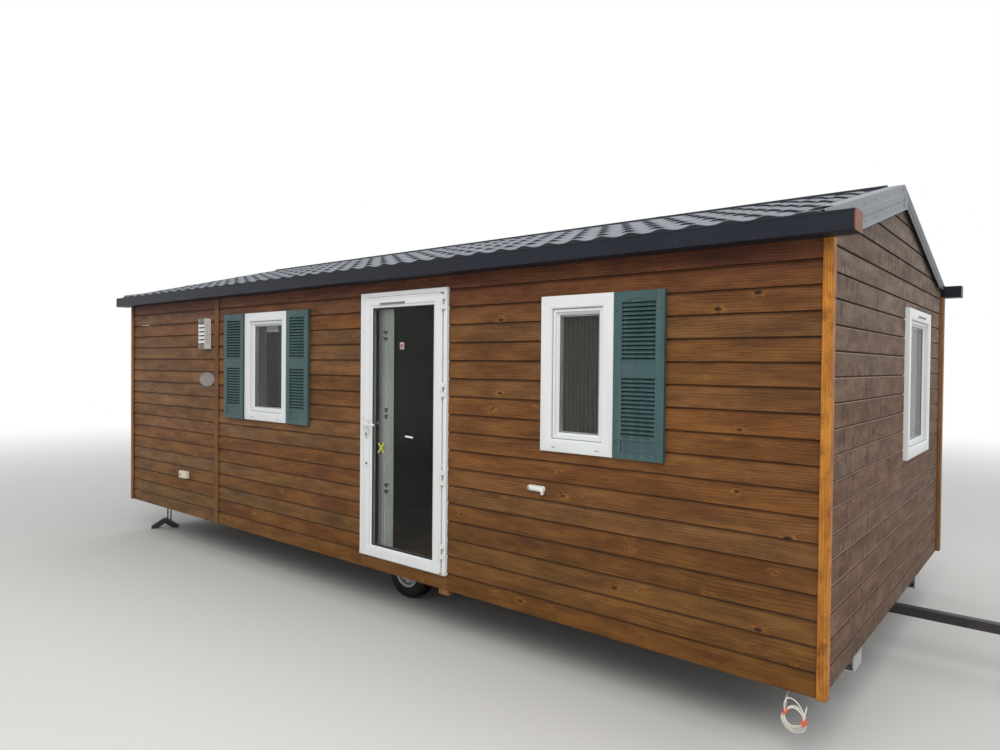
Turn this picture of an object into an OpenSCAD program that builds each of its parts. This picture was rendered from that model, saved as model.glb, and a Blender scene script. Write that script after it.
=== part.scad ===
// Tiny house on wheels: a timber-clad cabin on a single-axle trailer chassis.
// Millimetres. X runs along the house, the door wall faces -Y and Z = 0 is the ground.
// The origin lies on the ground, midway between the gutters' left ends and the tow head's nose.

/* [House] */
// Length over the corner posts
house_l = 7620; // [6400:10:9200]
// Width over the cladding of the long walls
house_w = 3660; // [3050:10:4400]
// Foot of the cladding above the ground
skirt_z = 370; // [350:1:450]
// Height of the roof's tile plane over the long walls, above the foot of the cladding
eaves_h = 2360; // [2300:1:2840]
// Thickness of the walls
wall_t = 90; // [75:1:110]
// Depth that the corner posts stand in front of the end walls
end_inset = 30; // [25:1:36]
// Outer skin of the end walls, which hangs in front of the chassis rails
end_skin_t = 15; // [12:1:18]
// Thickness of the floor deck
floor_t = 50; // [40:1:60]
// Underside of the floor deck above the foot of the cladding
floor_up = 95; // [90:1:114]

/* [Roof] */
// Pitch of the roof in degrees
roof_pitch = 14.7; // [12:0.1:18]
// Thickness of the roof, measured upright
roof_t = 75; // [60:1:90]
// Thickness of the tile sheets, measured upright
tile_t = 14; // [11:1:17]
// Reach of the tile sheets past the long walls
tile_over = 108; // [90:1:112]
// Number of tile courses on each slope
courses = 6; // [4:1:8]
// Step at the foot of each course
step_h = 15; // [12:1:18]
// Width of each wing of the ridge cap, measured level
ridge_wing = 135; // [110:1:165]
// Height of the ridge cap's roll
ridge_roll = 30; // [25:1:36]
// Depth of the verge flashing below the tile plane
verge_drop = 150; // [125:1:165]

/* [Gutters] */
// Height of the gutters' front
gutter_h = 100; // [83:1:104]
// Reach of the gutters in front of the long walls
gutter_reach = 132; // [125:1:158]
// Reach of the gutters past the corner posts
gutter_over = 120; // [100:1:144]
// Thickness of the gutters' sheet
gutter_t = 4; // [3:0.5:5]
// Underside of the gutters above the foot of the cladding, measured down from the eaves
gutter_drop = 125; // [122:1:150]

/* [Posts and battens] */
// Width of the corner posts
post_w = 65; // [54:1:78]
// Depth that the corner posts stand in front of the long walls
post_proud = 18; // [15:1:19]
// Width of the cover batten on the door wall
batten_w = 70; // [58:1:84]
// Thickness of the cover batten
batten_t = 12; // [10:1:14]
// Middle of the cover batten, from the right-hand corner
batten_at = 5700; // [5660:1:5740]

/* [Door] */
// Width of the door frame
door_w = 940; // [850:1:990]
// Height of the door frame
door_h = 2051; // [1900:1:2070]
// Right-hand edge of the door frame, from the right-hand corner
door_at = 2528; // [2400:1:2640]
// Foot of the door frame above the foot of the cladding
door_up = 104; // [96:1:117]
// Height of the door's threshold
door_sill_h = 6; // [5:0.5:14]
// Width of the door frame's members
door_jamb = 36; // [30:1:52]
// Width of the leaf's stiles
leaf_stile = 96; // [80:1:115]
// Height of the leaf's rails
leaf_rail = 78; // [65:1:96]
// Thickness of the leaf
leaf_t = 56; // [50:1:62]
// Gap round the leaf
leaf_gap = 8; // [7:0.5:9]
// Height of the lever above the foot of the frame
lever_up = 1032; // [860:1:1200]

/* [Windows] */
// Width of the left-hand window
win_a_w = 684; // [600:1:800]
// Height of the left-hand window
win_a_h = 996; // [830:1:1050]
// Sills of the front windows above the foot of the cladding
win_up = 1071; // [960:1:1100]
// Right-hand edge of the left-hand window, from the right-hand corner
win_a_at = 4484; // [4420:1:4540]
// Width of the right-hand window
win_b_w = 522; // [440:1:600]
// Height of the right-hand window
win_b_h = 968; // [807:1:1050]
// Right-hand edge of the right-hand window, from the right-hand corner
win_b_at = 1188; // [1100:1:1250]
// Width of the end window
win_c_w = 920; // [780:1:1000]
// Height of the end window
win_c_h = 1075; // [900:1:1100]
// Sill of the end window above the foot of the cladding
win_c_up = 962; // [900:1:1000]
// Distance of the end window from the door wall
win_c_at = 2005; // [1900:1:2100]
// Width of the window frames' members
frame_face = 80; // [66:1:96]
// Width of the sash members
sash_face = 42; // [35:1:50]
// Depth of the window and door frames
frame_d = 70; // [60:1:84]
// Depth that the frames stand in front of the cladding
frame_proud = 20; // [17:1:24]
// Thickness of the double glazing
glass_t = 20; // [17:1:24]

/* [Shutters] */
// Width of the left-hand window's outer shutter
shutter_a_w = 343; // [286:1:380]
// Width of the two shutters on the right of a window
shutter_b_w = 320; // [270:1:350]
// Thickness of the shutters
shutter_t = 30; // [25:1:36]
// Width of the shutters' stiles
stile_w = 52; // [44:1:62]
// Height of the shutters' top rail, with the arch
top_rail_h = 65; // [55:1:78]
// Height of the shutters' middle rail
mid_rail_h = 93; // [78:1:110]
// Height of the shutters' bottom rail, with the plain panel
foot_rail_h = 125; // [104:1:150]
// Rise of one louvre slat
slat_pitch = 24.2; // [20:0.1:29]
// Thickness of the slats
slat_t = 6; // [5:0.5:7]

/* [Chassis] */
// Height of the two main rails
rail_h = 220; // [185:1:260]
// Width of the rails' flanges
rail_w = 180; // [150:1:216]
// Thickness of the rails' webs and flanges
rail_t = 8; // [7:0.5:10]
// Distance between the rails' webs
rail_gauge = 1980; // [1650:10:2200]
// Width of the drawbar's box section
drawbar_w = 60; // [50:1:72]
// Reach of the tow head past the end wall
drawbar_reach = 1300; // [1080:10:1560]
// Length of the drawbar under the house
drawbar_root = 1500; // [1250:10:1800]
// Diameter of the tow ball that the head takes
ball_d = 50; // [42:1:60]

/* [Running gear] */
// Diameter of the tyres
tyre_d = 450; // [440:1:456]
// Width of the tyres
tyre_w = 150; // [125:1:180]
// Diameter of the rims at their flanges
rim_d = 268; // [225:1:320]
// Diameter of the stub axles
stub_d = 40; // [34:1:48]
// Distance of the axle from the right-hand corner
axle_at = 3440; // [3200:10:3900]
// Distance of the wheels' outer faces behind the long walls
wheel_inset = 455; // [430:1:520]
// Running clearance of a wheel on its stub, on the radius
hub_clear = 0.05; // [0.02:0.01:0.1]
// Thickness of the arms of the stands' feet
foot_arm_t = 60; // [50:1:72]

/* [Fittings] */
// Width of the flue terminal
flue_w = 122; // [102:1:146]
// Height of the flue terminal
flue_h = 306; // [255:1:367]
// Depth of the flue terminal
flue_d = 69; // [58:1:83]
// Length of the oval plate
oval_l = 300; // [250:1:360]
// Height of the oval plate
oval_h = 147; // [123:1:176]
// Diameter of the hanging cable
cable_d = 6; // [5:0.5:7]
// Radius of the hanging coil at the middle of its turns
coil_r = 60; // [50:1:72]

/* [Hidden] */
$fn = 48;
eps = 1;

// The part's own box, which the origin halves
overall_l = gutter_over + house_l + drawbar_reach;
x_left = gutter_over - overall_l / 2;
x_right = x_left + house_l;
front_y = -house_w / 2;
back_y = house_w / 2;
clad_left = x_left + end_inset;
clad_right = x_right - end_inset;

// Places on the door wall are measured from the right-hand corner, heights from the cladding's foot
function from_right(d) = x_right - d;
function up(h) = skirt_z + h;

// The tile plane and the roof's underside at a distance y from the middle of the house
function tile_z(y) = up(eaves_h) + (house_w / 2 - abs(y)) * tan(roof_pitch);
function roof_under_z(y) = tile_z(y) - roof_t;
floor_z = up(floor_up);
room_z = floor_z + floor_t;
gutter_z = up(eaves_h - gutter_drop);

// A frame's front lies this far in front of the cladding, its back inside the wall
frame_y = front_y - frame_proud;
door_left = door_at + door_w;
leaf_w = door_w - 2 * door_jamb - 2 * leaf_gap;
leaf_h = door_h - door_jamb - door_sill_h - 2 * leaf_gap;
leaf_x = from_right(door_left - door_jamb - leaf_gap);
leaf_z = up(door_up) + door_sill_h + leaf_gap;
leaf_front = frame_y - 5;
leaf_glass_t = 24;
hinge_r = 9;
hinge_pin_r = 4;
hinge_clear = 0.05;
hinge_x = from_right(door_at + door_jamb - 2);
hinge_y = leaf_front - hinge_r - 2;
hinge_knuckle = 34;
hinge_play = 1;
hinge_ups = [160, 685, 1310, leaf_h - 62];
spindle_x = leaf_x + leaf_stile / 2;

axle_x = from_right(axle_at);
axle_z = tyre_d / 2;
rail_end_gap = 2;
rail_left = clad_left + end_skin_t + rail_end_gap;
rail_right = clad_right - end_skin_t - rail_end_gap;
rail_foot = floor_z - rail_h;
drawbar_z = skirt_z - 2 - drawbar_w;
cross_h = floor_z - rail_t - drawbar_z - drawbar_w;
cross_w = 60;
nose_x = x_right + drawbar_reach;

// The cabin's shell

module long_wall(x0, x1, z0, z1) {
    // A stretch of the door wall between two heights, cut under the roof
    translate([x0, 0, 0])
        rotate([90, 0, 90])
            linear_extrude(x1 - x0)
                intersection() {
                    polygon([
                        [front_y, skirt_z], [front_y + wall_t, skirt_z],
                        [front_y + wall_t, roof_under_z(front_y + wall_t)],
                        [front_y, roof_under_z(front_y)]
                    ]);
                    translate([front_y - eps, z0])
                        square([wall_t + 2 * eps, z1 - z0]);
                }
}

module wall_hole(d, w, h, z) {
    // A window opening through the door wall
    translate([from_right(d + w), front_y - eps, up(z)])
        cube([w, wall_t + 2 * eps, h]);
}

roof_top = up(eaves_h) + house_w;

module front_wall_left() {
    color("#7a4a2a")
        difference() {
            long_wall(clad_left, from_right(door_left), skirt_z, roof_top);
            wall_hole(win_a_at, win_a_w, win_a_h, win_up);
        }
}

module front_wall_right() {
    color("#7a4a2a")
        difference() {
            long_wall(from_right(door_at), clad_right, skirt_z, roof_top);
            wall_hole(win_b_at, win_b_w, win_b_h, win_up);
        }
}

module front_wall_over_door() {
    color("#7a4a2a")
        long_wall(from_right(door_left), from_right(door_at), up(door_up + door_h), roof_top);
}

module front_wall_under_door() {
    color("#7a4a2a")
        long_wall(from_right(door_left), from_right(door_at), skirt_z, up(door_up));
}

module back_wall() {
    color("#7a4a2a")
        mirror([0, 1, 0])
            difference() {
                long_wall(clad_left, clad_right, skirt_z, roof_top);
                wall_hole(win_a_at, win_a_w, win_a_h, win_up);
                wall_hole(win_b_at, win_b_w, win_b_h, win_up);
            }
}

module end_wall() {
    // The right-hand end wall: a gable between the long walls, notched inside its skin for the rails
    y0 = front_y + wall_t;
    y1 = back_y - wall_t;
    notch = rail_w + 4;
    difference() {
        translate([clad_right - wall_t, 0, 0])
            rotate([90, 0, 90])
                linear_extrude(wall_t)
                    polygon([
                        [y0, skirt_z], [y1, skirt_z], [y1, roof_under_z(y1)],
                        [0, roof_under_z(0)], [y0, roof_under_z(y0)]
                    ]);
        translate([clad_right - wall_t - eps, front_y + win_c_at, up(win_c_up)])
            cube([wall_t + 2 * eps, win_c_w, win_c_h]);
        for (side = [-1, 1])
            translate([clad_right - wall_t - eps, side * rail_gauge / 2 - notch / 2, skirt_z - eps])
                cube([wall_t - end_skin_t + eps, notch, floor_up + eps]);
    }
}

module right_end_wall() {
    color("#6b5a50")
        end_wall();
}

module left_end_wall() {
    color("#6b5a50")
        translate([clad_left + clad_right, 0, 0])
            mirror([1, 0, 0])
                end_wall();
}

module floor() {
    color("#b59a72")
        translate([clad_left + wall_t, front_y + wall_t, floor_z])
            cube([clad_right - clad_left - 2 * wall_t, house_w - 2 * wall_t, floor_t]);
}

// The roof

slope_w = house_w / 2 + tile_over;
course_w = slope_w / courses;

module roof_slope() {
    // The front slope: a deck that ends at the wall, under tile sheets that run on over the gutter
    eave_y = front_y - tile_over;
    translate([clad_left, 0, 0])
        rotate([90, 0, 90])
            linear_extrude(clad_right - clad_left)
                polygon(concat(
                    [for (i = [0:courses - 1], end = [0, 1])
                        let (y = eave_y + (i + end) * course_w)
                            [y, tile_z(y) + (end == 0 ? step_h : 0)]],
                    [
                        [0, roof_under_z(0)], [front_y, roof_under_z(front_y)],
                        [front_y, tile_z(front_y) - tile_t], [eave_y, tile_z(eave_y) - tile_t]
                    ]
                ));
}

module roof_front() {
    color("#8e959c")
        roof_slope();
}

module roof_back() {
    color("#8e959c")
        mirror([0, 1, 0])
            roof_slope();
}

module ridge_cap() {
    // Two wings that lie on the top courses, folded over a rounded roll
    lift = step_h * ridge_wing / course_w;
    wing_t = 4;
    wing_z = tile_z(ridge_wing) + lift;
    end_in = verge_flange + verge_sheet + seat;
    color("#3b3f45")
        translate([clad_left + end_in, 0, seat])
            rotate([90, 0, 90])
                linear_extrude(clad_right - clad_left - 2 * end_in) {
                    polygon([
                        [-ridge_wing, wing_z], [0, tile_z(0)], [ridge_wing, wing_z],
                        [ridge_wing, wing_z + wing_t], [ridge_roll, tile_z(ridge_roll) + 2 * wing_t],
                        [-ridge_roll, tile_z(ridge_roll) + 2 * wing_t], [-ridge_wing, wing_z + wing_t]
                    ]);
                    intersection() {
                        translate([0, tile_z(0)])
                            circle(r = ridge_roll);
                        translate([-ridge_roll, tile_z(0)])
                            square([2 * ridge_roll, ridge_roll]);
                    }
                }
}

// The verge flashing's folds, across the house's end: outwards and up, from the tile plane
verge_sheet = 3;
verge_out = 14;
verge_flange = 90;
verge_path = [
    [-verge_flange, step_h + verge_sheet], [verge_out, step_h + verge_sheet], [verge_out, -38],
    [verge_out + 7, -45], [verge_out + 7, -verge_drop + 12], [verge_out + 17, -verge_drop]
];

module verge_run() {
    // The front slope's flashing at the right-hand end, jointed at the ridge and cut round the gutter
    n = len(verge_path);
    run = 2 * house_w;
    eave_y = front_y - tile_over;
    x0 = clad_right - house_l / 2;
    difference() {
        intersection() {
            translate([clad_right, 0, tile_z(0)])
                rotate([roof_pitch, 0, 0])
                    translate([0, run / 2, 0])
                        rotate([90, 0, 0])
                            linear_extrude(run)
                                polygon(concat(
                                    verge_path,
                                    [for (i = [n - 1:-1:0]) verge_path[i] - [verge_sheet, verge_sheet]]
                                ));
            translate([x0, eave_y, 0])
                cube([house_l, -eave_y - seat, 2 * roof_top]);
        }
        translate([x0, eave_y - eps, 0])
            cube([house_l, front_y - eave_y + eps + seat, gutter_z + gutter_h + seat]);
        translate([x0, front_y, 0])
            cube([house_l, post_w, gutter_z + seat]);
    }
}

module verge_flashings() {
    color("#a9adb0")
        for (end = [0, 1], back = [0, 1])
            translate([end * (clad_left + clad_right), 0, 0])
                mirror([end, 0, 0])
                    mirror([0, back, 0])
                        verge_run();
}

module gutter() {
    // The front gutter: a square trough with closed ends, fixed to the wall's face under the tiles
    x0 = x_left - gutter_over;
    len = house_l + 2 * gutter_over;
    lip_h = 12;
    lip_out = gutter_t / 2;
    color("#31363f")
        translate([x0, front_y - gutter_reach, gutter_z])
            difference() {
                cube([len, gutter_reach, gutter_h]);
                translate([gutter_t, gutter_t, gutter_t])
                    cube([len - 2 * gutter_t, gutter_reach - 2 * gutter_t, gutter_h]);
                translate([-eps, -eps, lip_h])
                    cube([len + 2 * eps, lip_out + eps, gutter_h - 2 * lip_h]);
            }
}

module gutter_front() {
    gutter();
}

module gutter_back() {
    mirror([0, 1, 0])
        gutter();
}

module corner_post() {
    // An angle that wraps the front right-hand corner, with eased outer edges
    post_h = gutter_z - skirt_z;
    translate([0, 0, skirt_z])
        linear_extrude(post_h)
            difference() {
                translate([x_right - post_w, front_y - post_proud])
                    square([post_w, post_w]);
                translate([clad_right - house_l, front_y])
                    square([house_l, house_w]);
            }
}

module corner_posts() {
    color("#c98a3c")
        for (end = [0, 1], back = [0, 1])
            translate([end * (x_left + x_right), 0, 0])
                mirror([end, 0, 0])
                    mirror([0, back, 0])
                        corner_post();
}

module cover_batten() {
    // The batten over the boards' joint, and the packing block under the door's hinge side
    block = [100, 40, 35];
    color("#6a4126") {
        translate([from_right(batten_at) - batten_w / 2, front_y - batten_t, skirt_z])
            cube([batten_w, batten_t, gutter_z - skirt_z]);
        translate([from_right(door_at) - block[0] + 20, front_y, skirt_z - block[2]])
            cube(block);
    }
}

// The door

module ring_frame(w, h, face, d, foot = -1, head = -1) {
    // A rectangular frame in the X-Z plane, its front at y = 0
    sill = foot < 0 ? face : foot;
    top = head < 0 ? face : head;
    difference() {
        cube([w, d, h]);
        translate([face, -eps, sill])
            cube([w - 2 * face, d + 2 * eps, h - top - sill]);
    }
}

module door_frame() {
    // The jambs and the head, rebated for the leaf, over a low threshold
    stop_w = 14;
    rebate = leaf_front + leaf_t + leaf_gap - frame_y;
    color("#e8e8e6")
        translate([from_right(door_left), frame_y, up(door_up)])
            difference() {
                ring_frame(door_w, door_h, door_jamb + stop_w, frame_d + frame_proud, door_sill_h);
                translate([door_jamb, -eps, door_sill_h])
                    cube([door_w - 2 * door_jamb, rebate + eps, door_h - door_jamb - door_sill_h]);
            }
}

module hinge_knuckle_at(z, h, bore) {
    // One knuckle of a hinge; a bore of 0 leaves it solid
    translate([hinge_x, hinge_y, z])
        difference() {
            cylinder(r = hinge_r, h = h);
            if (bore > 0)
                translate([0, 0, -eps])
                    cylinder(r = bore, h = h + 2 * eps);
        }
}

module door_hinges() {
    // The frame's halves: the upper and lower knuckles, the pin between them and their ears
    ear = [24, 6];
    color("#dededc")
        for (u = hinge_ups) {
            z = leaf_z + u;
            for (level = [-1, 1]) {
                z0 = z + level * (hinge_knuckle + hinge_play) - hinge_knuckle / 2;
                hinge_knuckle_at(z0, hinge_knuckle, 0);
                translate([hinge_x, hinge_y, z0])
                    cube([ear[0], frame_y - hinge_y, hinge_knuckle]);
            }
            translate([hinge_x, hinge_y, z - hinge_knuckle / 2 - hinge_play - eps])
                cylinder(r = hinge_pin_r, h = hinge_knuckle + 2 * hinge_play + 2 * eps);
        }
}

module door_leaf() {
    // The leaf's stiles and rails, with the hinges' middle knuckles on its right-hand stile
    vent = [280, 8, 12];
    ear_w = 22;
    color("#ececea") {
        difference() {
            translate([leaf_x, leaf_front, leaf_z])
                ring_frame(leaf_w, leaf_h, leaf_stile, leaf_t, leaf_rail, leaf_rail);
            translate([leaf_x + leaf_stile + 90, leaf_front - eps, leaf_z + leaf_h - 48])
                cube(vent);
        }
        for (u = hinge_ups) {
            z = leaf_z + u - hinge_knuckle / 2;
            hinge_knuckle_at(z, hinge_knuckle, hinge_pin_r + hinge_clear);
            difference() {
                translate([hinge_x - ear_w, hinge_y, z])
                    cube([ear_w, leaf_front - hinge_y, hinge_knuckle]);
                translate([hinge_x, hinge_y, z - eps])
                    cylinder(r = hinge_r, h = hinge_knuckle + 2 * eps);
            }
        }
    }
}

module door_glass() {
    color([0.5, 0.6, 0.62, 0.35])
        translate([leaf_x + leaf_stile, leaf_front + (leaf_t - leaf_glass_t) / 2, leaf_z + leaf_rail])
            cube([leaf_w - 2 * leaf_stile, leaf_glass_t, leaf_h - 2 * leaf_rail]);
}

module lever(side) {
    // A backplate with a neck and a lever that points towards the hinges
    plate = [34, 8, 150];
    neck = 42;
    grip = [135, 14, 20];
    y_face = side < 0 ? leaf_front : leaf_front + leaf_t;
    translate([spindle_x, y_face, up(door_up + lever_up)])
        mirror([0, side < 0 ? 0 : 1, 0]) {
            translate([-plate[0] / 2, -plate[1], -110])
                cube(plate);
            rotate([90, 0, 0])
                cylinder(r = 10, h = neck);
            translate([-grip[2] / 2, -neck - grip[1] / 2, -grip[2] / 2])
                cube(grip);
            translate([0, -plate[1], -85])
                rotate([90, 0, 0])
                    cylinder(r = 11, h = 6);
        }
}

module door_handle() {
    // The levers inside and outside, and a second lock below them
    low_lock = 310;
    color("#e4e4e2") {
        lever(-1);
        lever(1);
        translate([spindle_x, leaf_front, up(door_up + lever_up) - low_lock])
            rotate([90, 0, 0])
                cylinder(r = 20, h = 8);
    }
}

// Curtains hang against the back of the sash, which they lap all round
curtain_t = 24;
curtain_lap = 20;
seat = 0.3;

module door_curtain() {
    // The gathered curtain behind the left side of the pane
    color("#8f9c92")
        translate([leaf_x + leaf_stile + 8, leaf_front + leaf_t + seat, leaf_z + leaf_rail - curtain_lap])
            cube([175, curtain_t, leaf_h - 2 * leaf_rail + 2 * curtain_lap]);
}

// The windows

module window(w, h) {
    // A frame with a sash set back in it and a bead round the pane, its front at y = 0
    sash_back = 17;
    bead_back = 33;
    bead_face = sash_face / 2;
    bead_in = frame_face + sash_face - bead_face;
    ring_frame(w, h, frame_face, frame_d + frame_proud);
    translate([frame_face, sash_back, frame_face])
        ring_frame(w - 2 * frame_face, h - 2 * frame_face, sash_face - bead_face, frame_d - sash_back);
    translate([bead_in, bead_back, bead_in])
        ring_frame(w - 2 * bead_in, h - 2 * bead_in, bead_face, frame_d - bead_back);
}

module window_glass(w, h) {
    side = frame_face + sash_face;
    translate([side, frame_d - glass_t - 6, side])
        cube([w - 2 * side, glass_t, h - 2 * side]);
}

module at_front(d, w, z) {
    // Moves a window to its place in the door wall
    translate([from_right(d + w), frame_y, up(z)])
        children();
}

module at_end() {
    // Moves a window to its place in the right-hand end wall
    translate([clad_right + end_inset, front_y + win_c_at, up(win_c_up)])
        rotate([0, 0, 90])
            children();
}

module left_window() {
    color("#e8e8e6")
        at_front(win_a_at, win_a_w, win_up)
            window(win_a_w, win_a_h);
}

module left_window_glass() {
    color([0.5, 0.6, 0.62, 0.35])
        at_front(win_a_at, win_a_w, win_up)
            window_glass(win_a_w, win_a_h);
}

module right_window() {
    color("#e8e8e6")
        at_front(win_b_at, win_b_w, win_up)
            window(win_b_w, win_b_h);
}

module right_window_glass() {
    color([0.5, 0.6, 0.62, 0.35])
        at_front(win_b_at, win_b_w, win_up)
            window_glass(win_b_w, win_b_h);
}

module end_window() {
    color("#e8e8e6")
        at_end()
            window(win_c_w, win_c_h);
}

module end_window_glass() {
    color([0.5, 0.6, 0.62, 0.35])
        at_end()
            window_glass(win_c_w, win_c_h);
}

module rear_places() {
    // The sides out of view: two windows in the back wall and one in the left-hand end wall
    mirror([0, 1, 0]) {
        at_front(win_a_at, win_a_w, win_up)
            children(0);
        at_front(win_b_at, win_b_w, win_up)
            children(1);
    }
    translate([clad_left + clad_right, 0, 0])
        mirror([1, 0, 0])
            at_end()
                children(2);
}

module rear_windows() {
    color("#e8e8e6")
        rear_places() {
            window(win_a_w, win_a_h);
            window(win_b_w, win_b_h);
            window(win_c_w, win_c_h);
        }
}

module rear_windows_glass() {
    color([0.5, 0.6, 0.62, 0.35])
        rear_places() {
            window_glass(win_a_w, win_a_h);
            window_glass(win_b_w, win_b_h);
            window_glass(win_c_w, win_c_h);
        }
}

module curtain(w, h) {
    // A hanging curtain behind a window, its front against the sash
    translate([0, frame_d + seat, 0])
        cube([w, curtain_t, h]);
}

module left_window_curtains() {
    // A short blind at the head, and a dark curtain on each side
    side = frame_face + sash_face - curtain_lap;
    h = win_a_h - 2 * side;
    strip = 150;
    color("#2b2f33")
        at_front(win_a_at, win_a_w, win_up)
            for (x = [side, win_a_w - side - strip])
                translate([x, 0, side])
                    curtain(strip, h);
}

module right_window_curtain() {
    side = frame_face + sash_face - curtain_lap;
    color("#8b8075")
        at_front(win_b_at, win_b_w, win_up)
            translate([side, 0, side])
                curtain(win_b_w - 2 * side, win_b_h - 2 * side);
}

module end_window_curtain() {
    side = frame_face + sash_face - curtain_lap;
    color("#c9c9c4")
        at_end()
            translate([side, 0, side])
                curtain(win_c_w - 2 * side, win_c_h - 2 * side);
}

// The shutters

module louvres(w, h) {
    // Sloping slats that fill an opening of a shutter, their feet outwards
    count = floor(h / slat_pitch);
    pitch = h / count;
    slat_d = 26;
    for (i = [0:count - 1])
        translate([0, shutter_t / 2, (i + 0.5) * pitch])
            rotate([-40, 0, 0])
                translate([0, -slat_d / 2, -slat_t / 2])
                    cube([w, slat_d, slat_t]);
}

module shutter(w, h) {
    // A moulded shutter, its front at y = 0: two louvred panels between rails under a pointed arch
    open_w = w - 2 * stile_w;
    louvre_h = (h - top_rail_h - mid_rail_h - foot_rail_h) / 2;
    arch_h = 24;
    groove = 4;
    difference() {
        cube([w, shutter_t, h]);
        for (z = [foot_rail_h, foot_rail_h + louvre_h + mid_rail_h])
            translate([stile_w, -eps, z])
                cube([open_w, shutter_t + 2 * eps, louvre_h]);
        translate([stile_w, groove, h - top_rail_h])
            rotate([90, 0, 0])
                linear_extrude(groove + eps)
                    polygon([[0, 0], [open_w, 0], [open_w / 2, arch_h]]);
        translate([stile_w, -eps, 38])
            cube([open_w, groove + eps, foot_rail_h - 38 - 16]);
    }
    for (z = [foot_rail_h, foot_rail_h + louvre_h + mid_rail_h])
        translate([stile_w - eps, 0, z])
            intersection() {
                louvres(open_w + 2 * eps, louvre_h);
                translate([0, eps, 0])
                    cube([open_w + 2 * eps, shutter_t - 2 * eps, louvre_h]);
            }
}

shutter_gap = 8;
shutter_y = front_y - shutter_t;

module left_shutter_outer() {
    color("#4f7d7f")
        translate([from_right(win_a_at + win_a_w + shutter_gap + shutter_a_w), shutter_y, up(win_up)])
            shutter(shutter_a_w, win_a_h);
}

module left_shutter_inner() {
    color("#4f7d7f")
        translate([from_right(win_a_at - shutter_gap), shutter_y, up(win_up)])
            shutter(shutter_b_w, win_a_h);
}

module right_shutter() {
    color("#4f7d7f")
        translate([from_right(win_b_at - shutter_gap), shutter_y, up(win_up)])
            shutter(shutter_b_w, win_b_h);
}

// Fittings on the door wall

flue_at = 5885;
flue_up = 1890;
oval_at = 5894;
oval_up = 1431;

module flue_terminal() {
    // A white vent box with five louvre bars across its open front
    shell = 4;
    bars = 5;
    bar_zone = 200;
    bar_h = 14;
    bar_pitch = bar_zone / bars;
    color("#dcdcd8")
        translate([from_right(flue_at) - flue_w / 2, front_y - flue_d, up(flue_up) - flue_h / 2]) {
            difference() {
                cube([flue_w, flue_d, flue_h]);
                translate([shell, -eps, (flue_h - bar_zone) / 2])
                    cube([flue_w - 2 * shell, flue_d - shell + eps, bar_zone]);
            }
            for (i = [0:bars - 1])
                translate([0, 2, (flue_h - bar_zone) / 2 + (i + 0.5) * bar_pitch - bar_h / 2])
                    cube([flue_w, 10, bar_h]);
        }
}

module oval_plate() {
    color("#b9bcc0")
        translate([from_right(oval_at), front_y, up(oval_up)])
            rotate([90, 0, 0])
                linear_extrude(8)
                    hull()
                        for (side = [-1, 1])
                            translate([side * (oval_l - oval_h) / 2, 0])
                                circle(d = oval_h);
}

module wall_fittings() {
    // The small service box and the water fitting with its turned-down spout
    box = [150, 40, 75];
    body = [131, 30, 38];
    spout = [24, 22, 14];
    color("#ded8c4")
        translate([from_right(6340) - box[0] / 2, front_y - box[1], up(381)])
            cube(box);
    color("#e4e4e0")
        translate([from_right(1744) - body[0] / 2, front_y - body[1], up(804)]) {
            cube(body);
            translate([body[0] - spout[0], 4, -spout[2]])
                cube(spout);
        }
}

// The chassis

module rail() {
    // The front main rail, a welded I section with a plate across each end
    y = -rail_gauge / 2;
    color("#a5a9ab") {
        translate([rail_left, y, rail_foot])
            rotate([90, 0, 90])
                linear_extrude(rail_right - rail_left) {
                    translate([-rail_w / 2, 0])
                        square([rail_w, rail_t]);
                    translate([-rail_w / 2, rail_h - rail_t])
                        square([rail_w, rail_t]);
                    translate([-rail_t / 2, 0])
                        square([rail_t, rail_h]);
                }
        for (x = [rail_left, rail_right - rail_t])
            translate([x, y - rail_w / 2, rail_foot])
                cube([rail_t, rail_w, rail_h]);
    }
}

module front_rail() {
    rail();
}

module back_rail() {
    mirror([0, 1, 0])
        rail();
}

// The cross members' places, from the right-hand corner
cross_places = [250, 900, 1500, 2900, 4000, 5400, 7300];

module cross_members() {
    // Channels between the rails, and outriggers from the rails to the long walls
    inner = rail_gauge - rail_t;
    outrigger = house_w / 2 - wall_t - rail_gauge / 2 - rail_t / 2;
    z = floor_z - rail_t - cross_h;
    color("#9fa3a5")
        for (d = cross_places) {
            translate([from_right(d) - cross_w / 2, -inner / 2, z])
                cube([cross_w, inner, cross_h]);
            for (side = [0, 1])
                mirror([0, side, 0])
                    translate([from_right(d) - cross_w / 2, front_y + wall_t, z])
                        cube([cross_w, outrigger, cross_h]);
        }
}

// The running gear

wheel_y = front_y + wheel_inset;
hub_r = 60;
hub_back = wheel_y + tyre_w - 12;
carrier_t = 14;
beam_w = 60;

module axle() {
    // A square beam under the rails, with a carrier plate and a stub at each end
    beam_end = hub_back + 8 + carrier_t;
    carrier_foot = axle_z - 45;
    color("#6f7375") {
        translate([axle_x - beam_w / 2, beam_end, rail_foot - beam_w])
            cube([beam_w, -2 * beam_end, beam_w]);
        for (side = [0, 1])
            mirror([0, side, 0]) {
                translate([axle_x - 50, beam_end - carrier_t, carrier_foot])
                    cube([100, carrier_t, max(rail_foot, axle_z + 30) - carrier_foot]);
                translate([axle_x, beam_end - carrier_t + eps, axle_z])
                    rotate([90, 0, 0])
                        cylinder(d = stub_d, h = beam_end - carrier_t + eps - wheel_y - 46);
            }
    }
}

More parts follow.
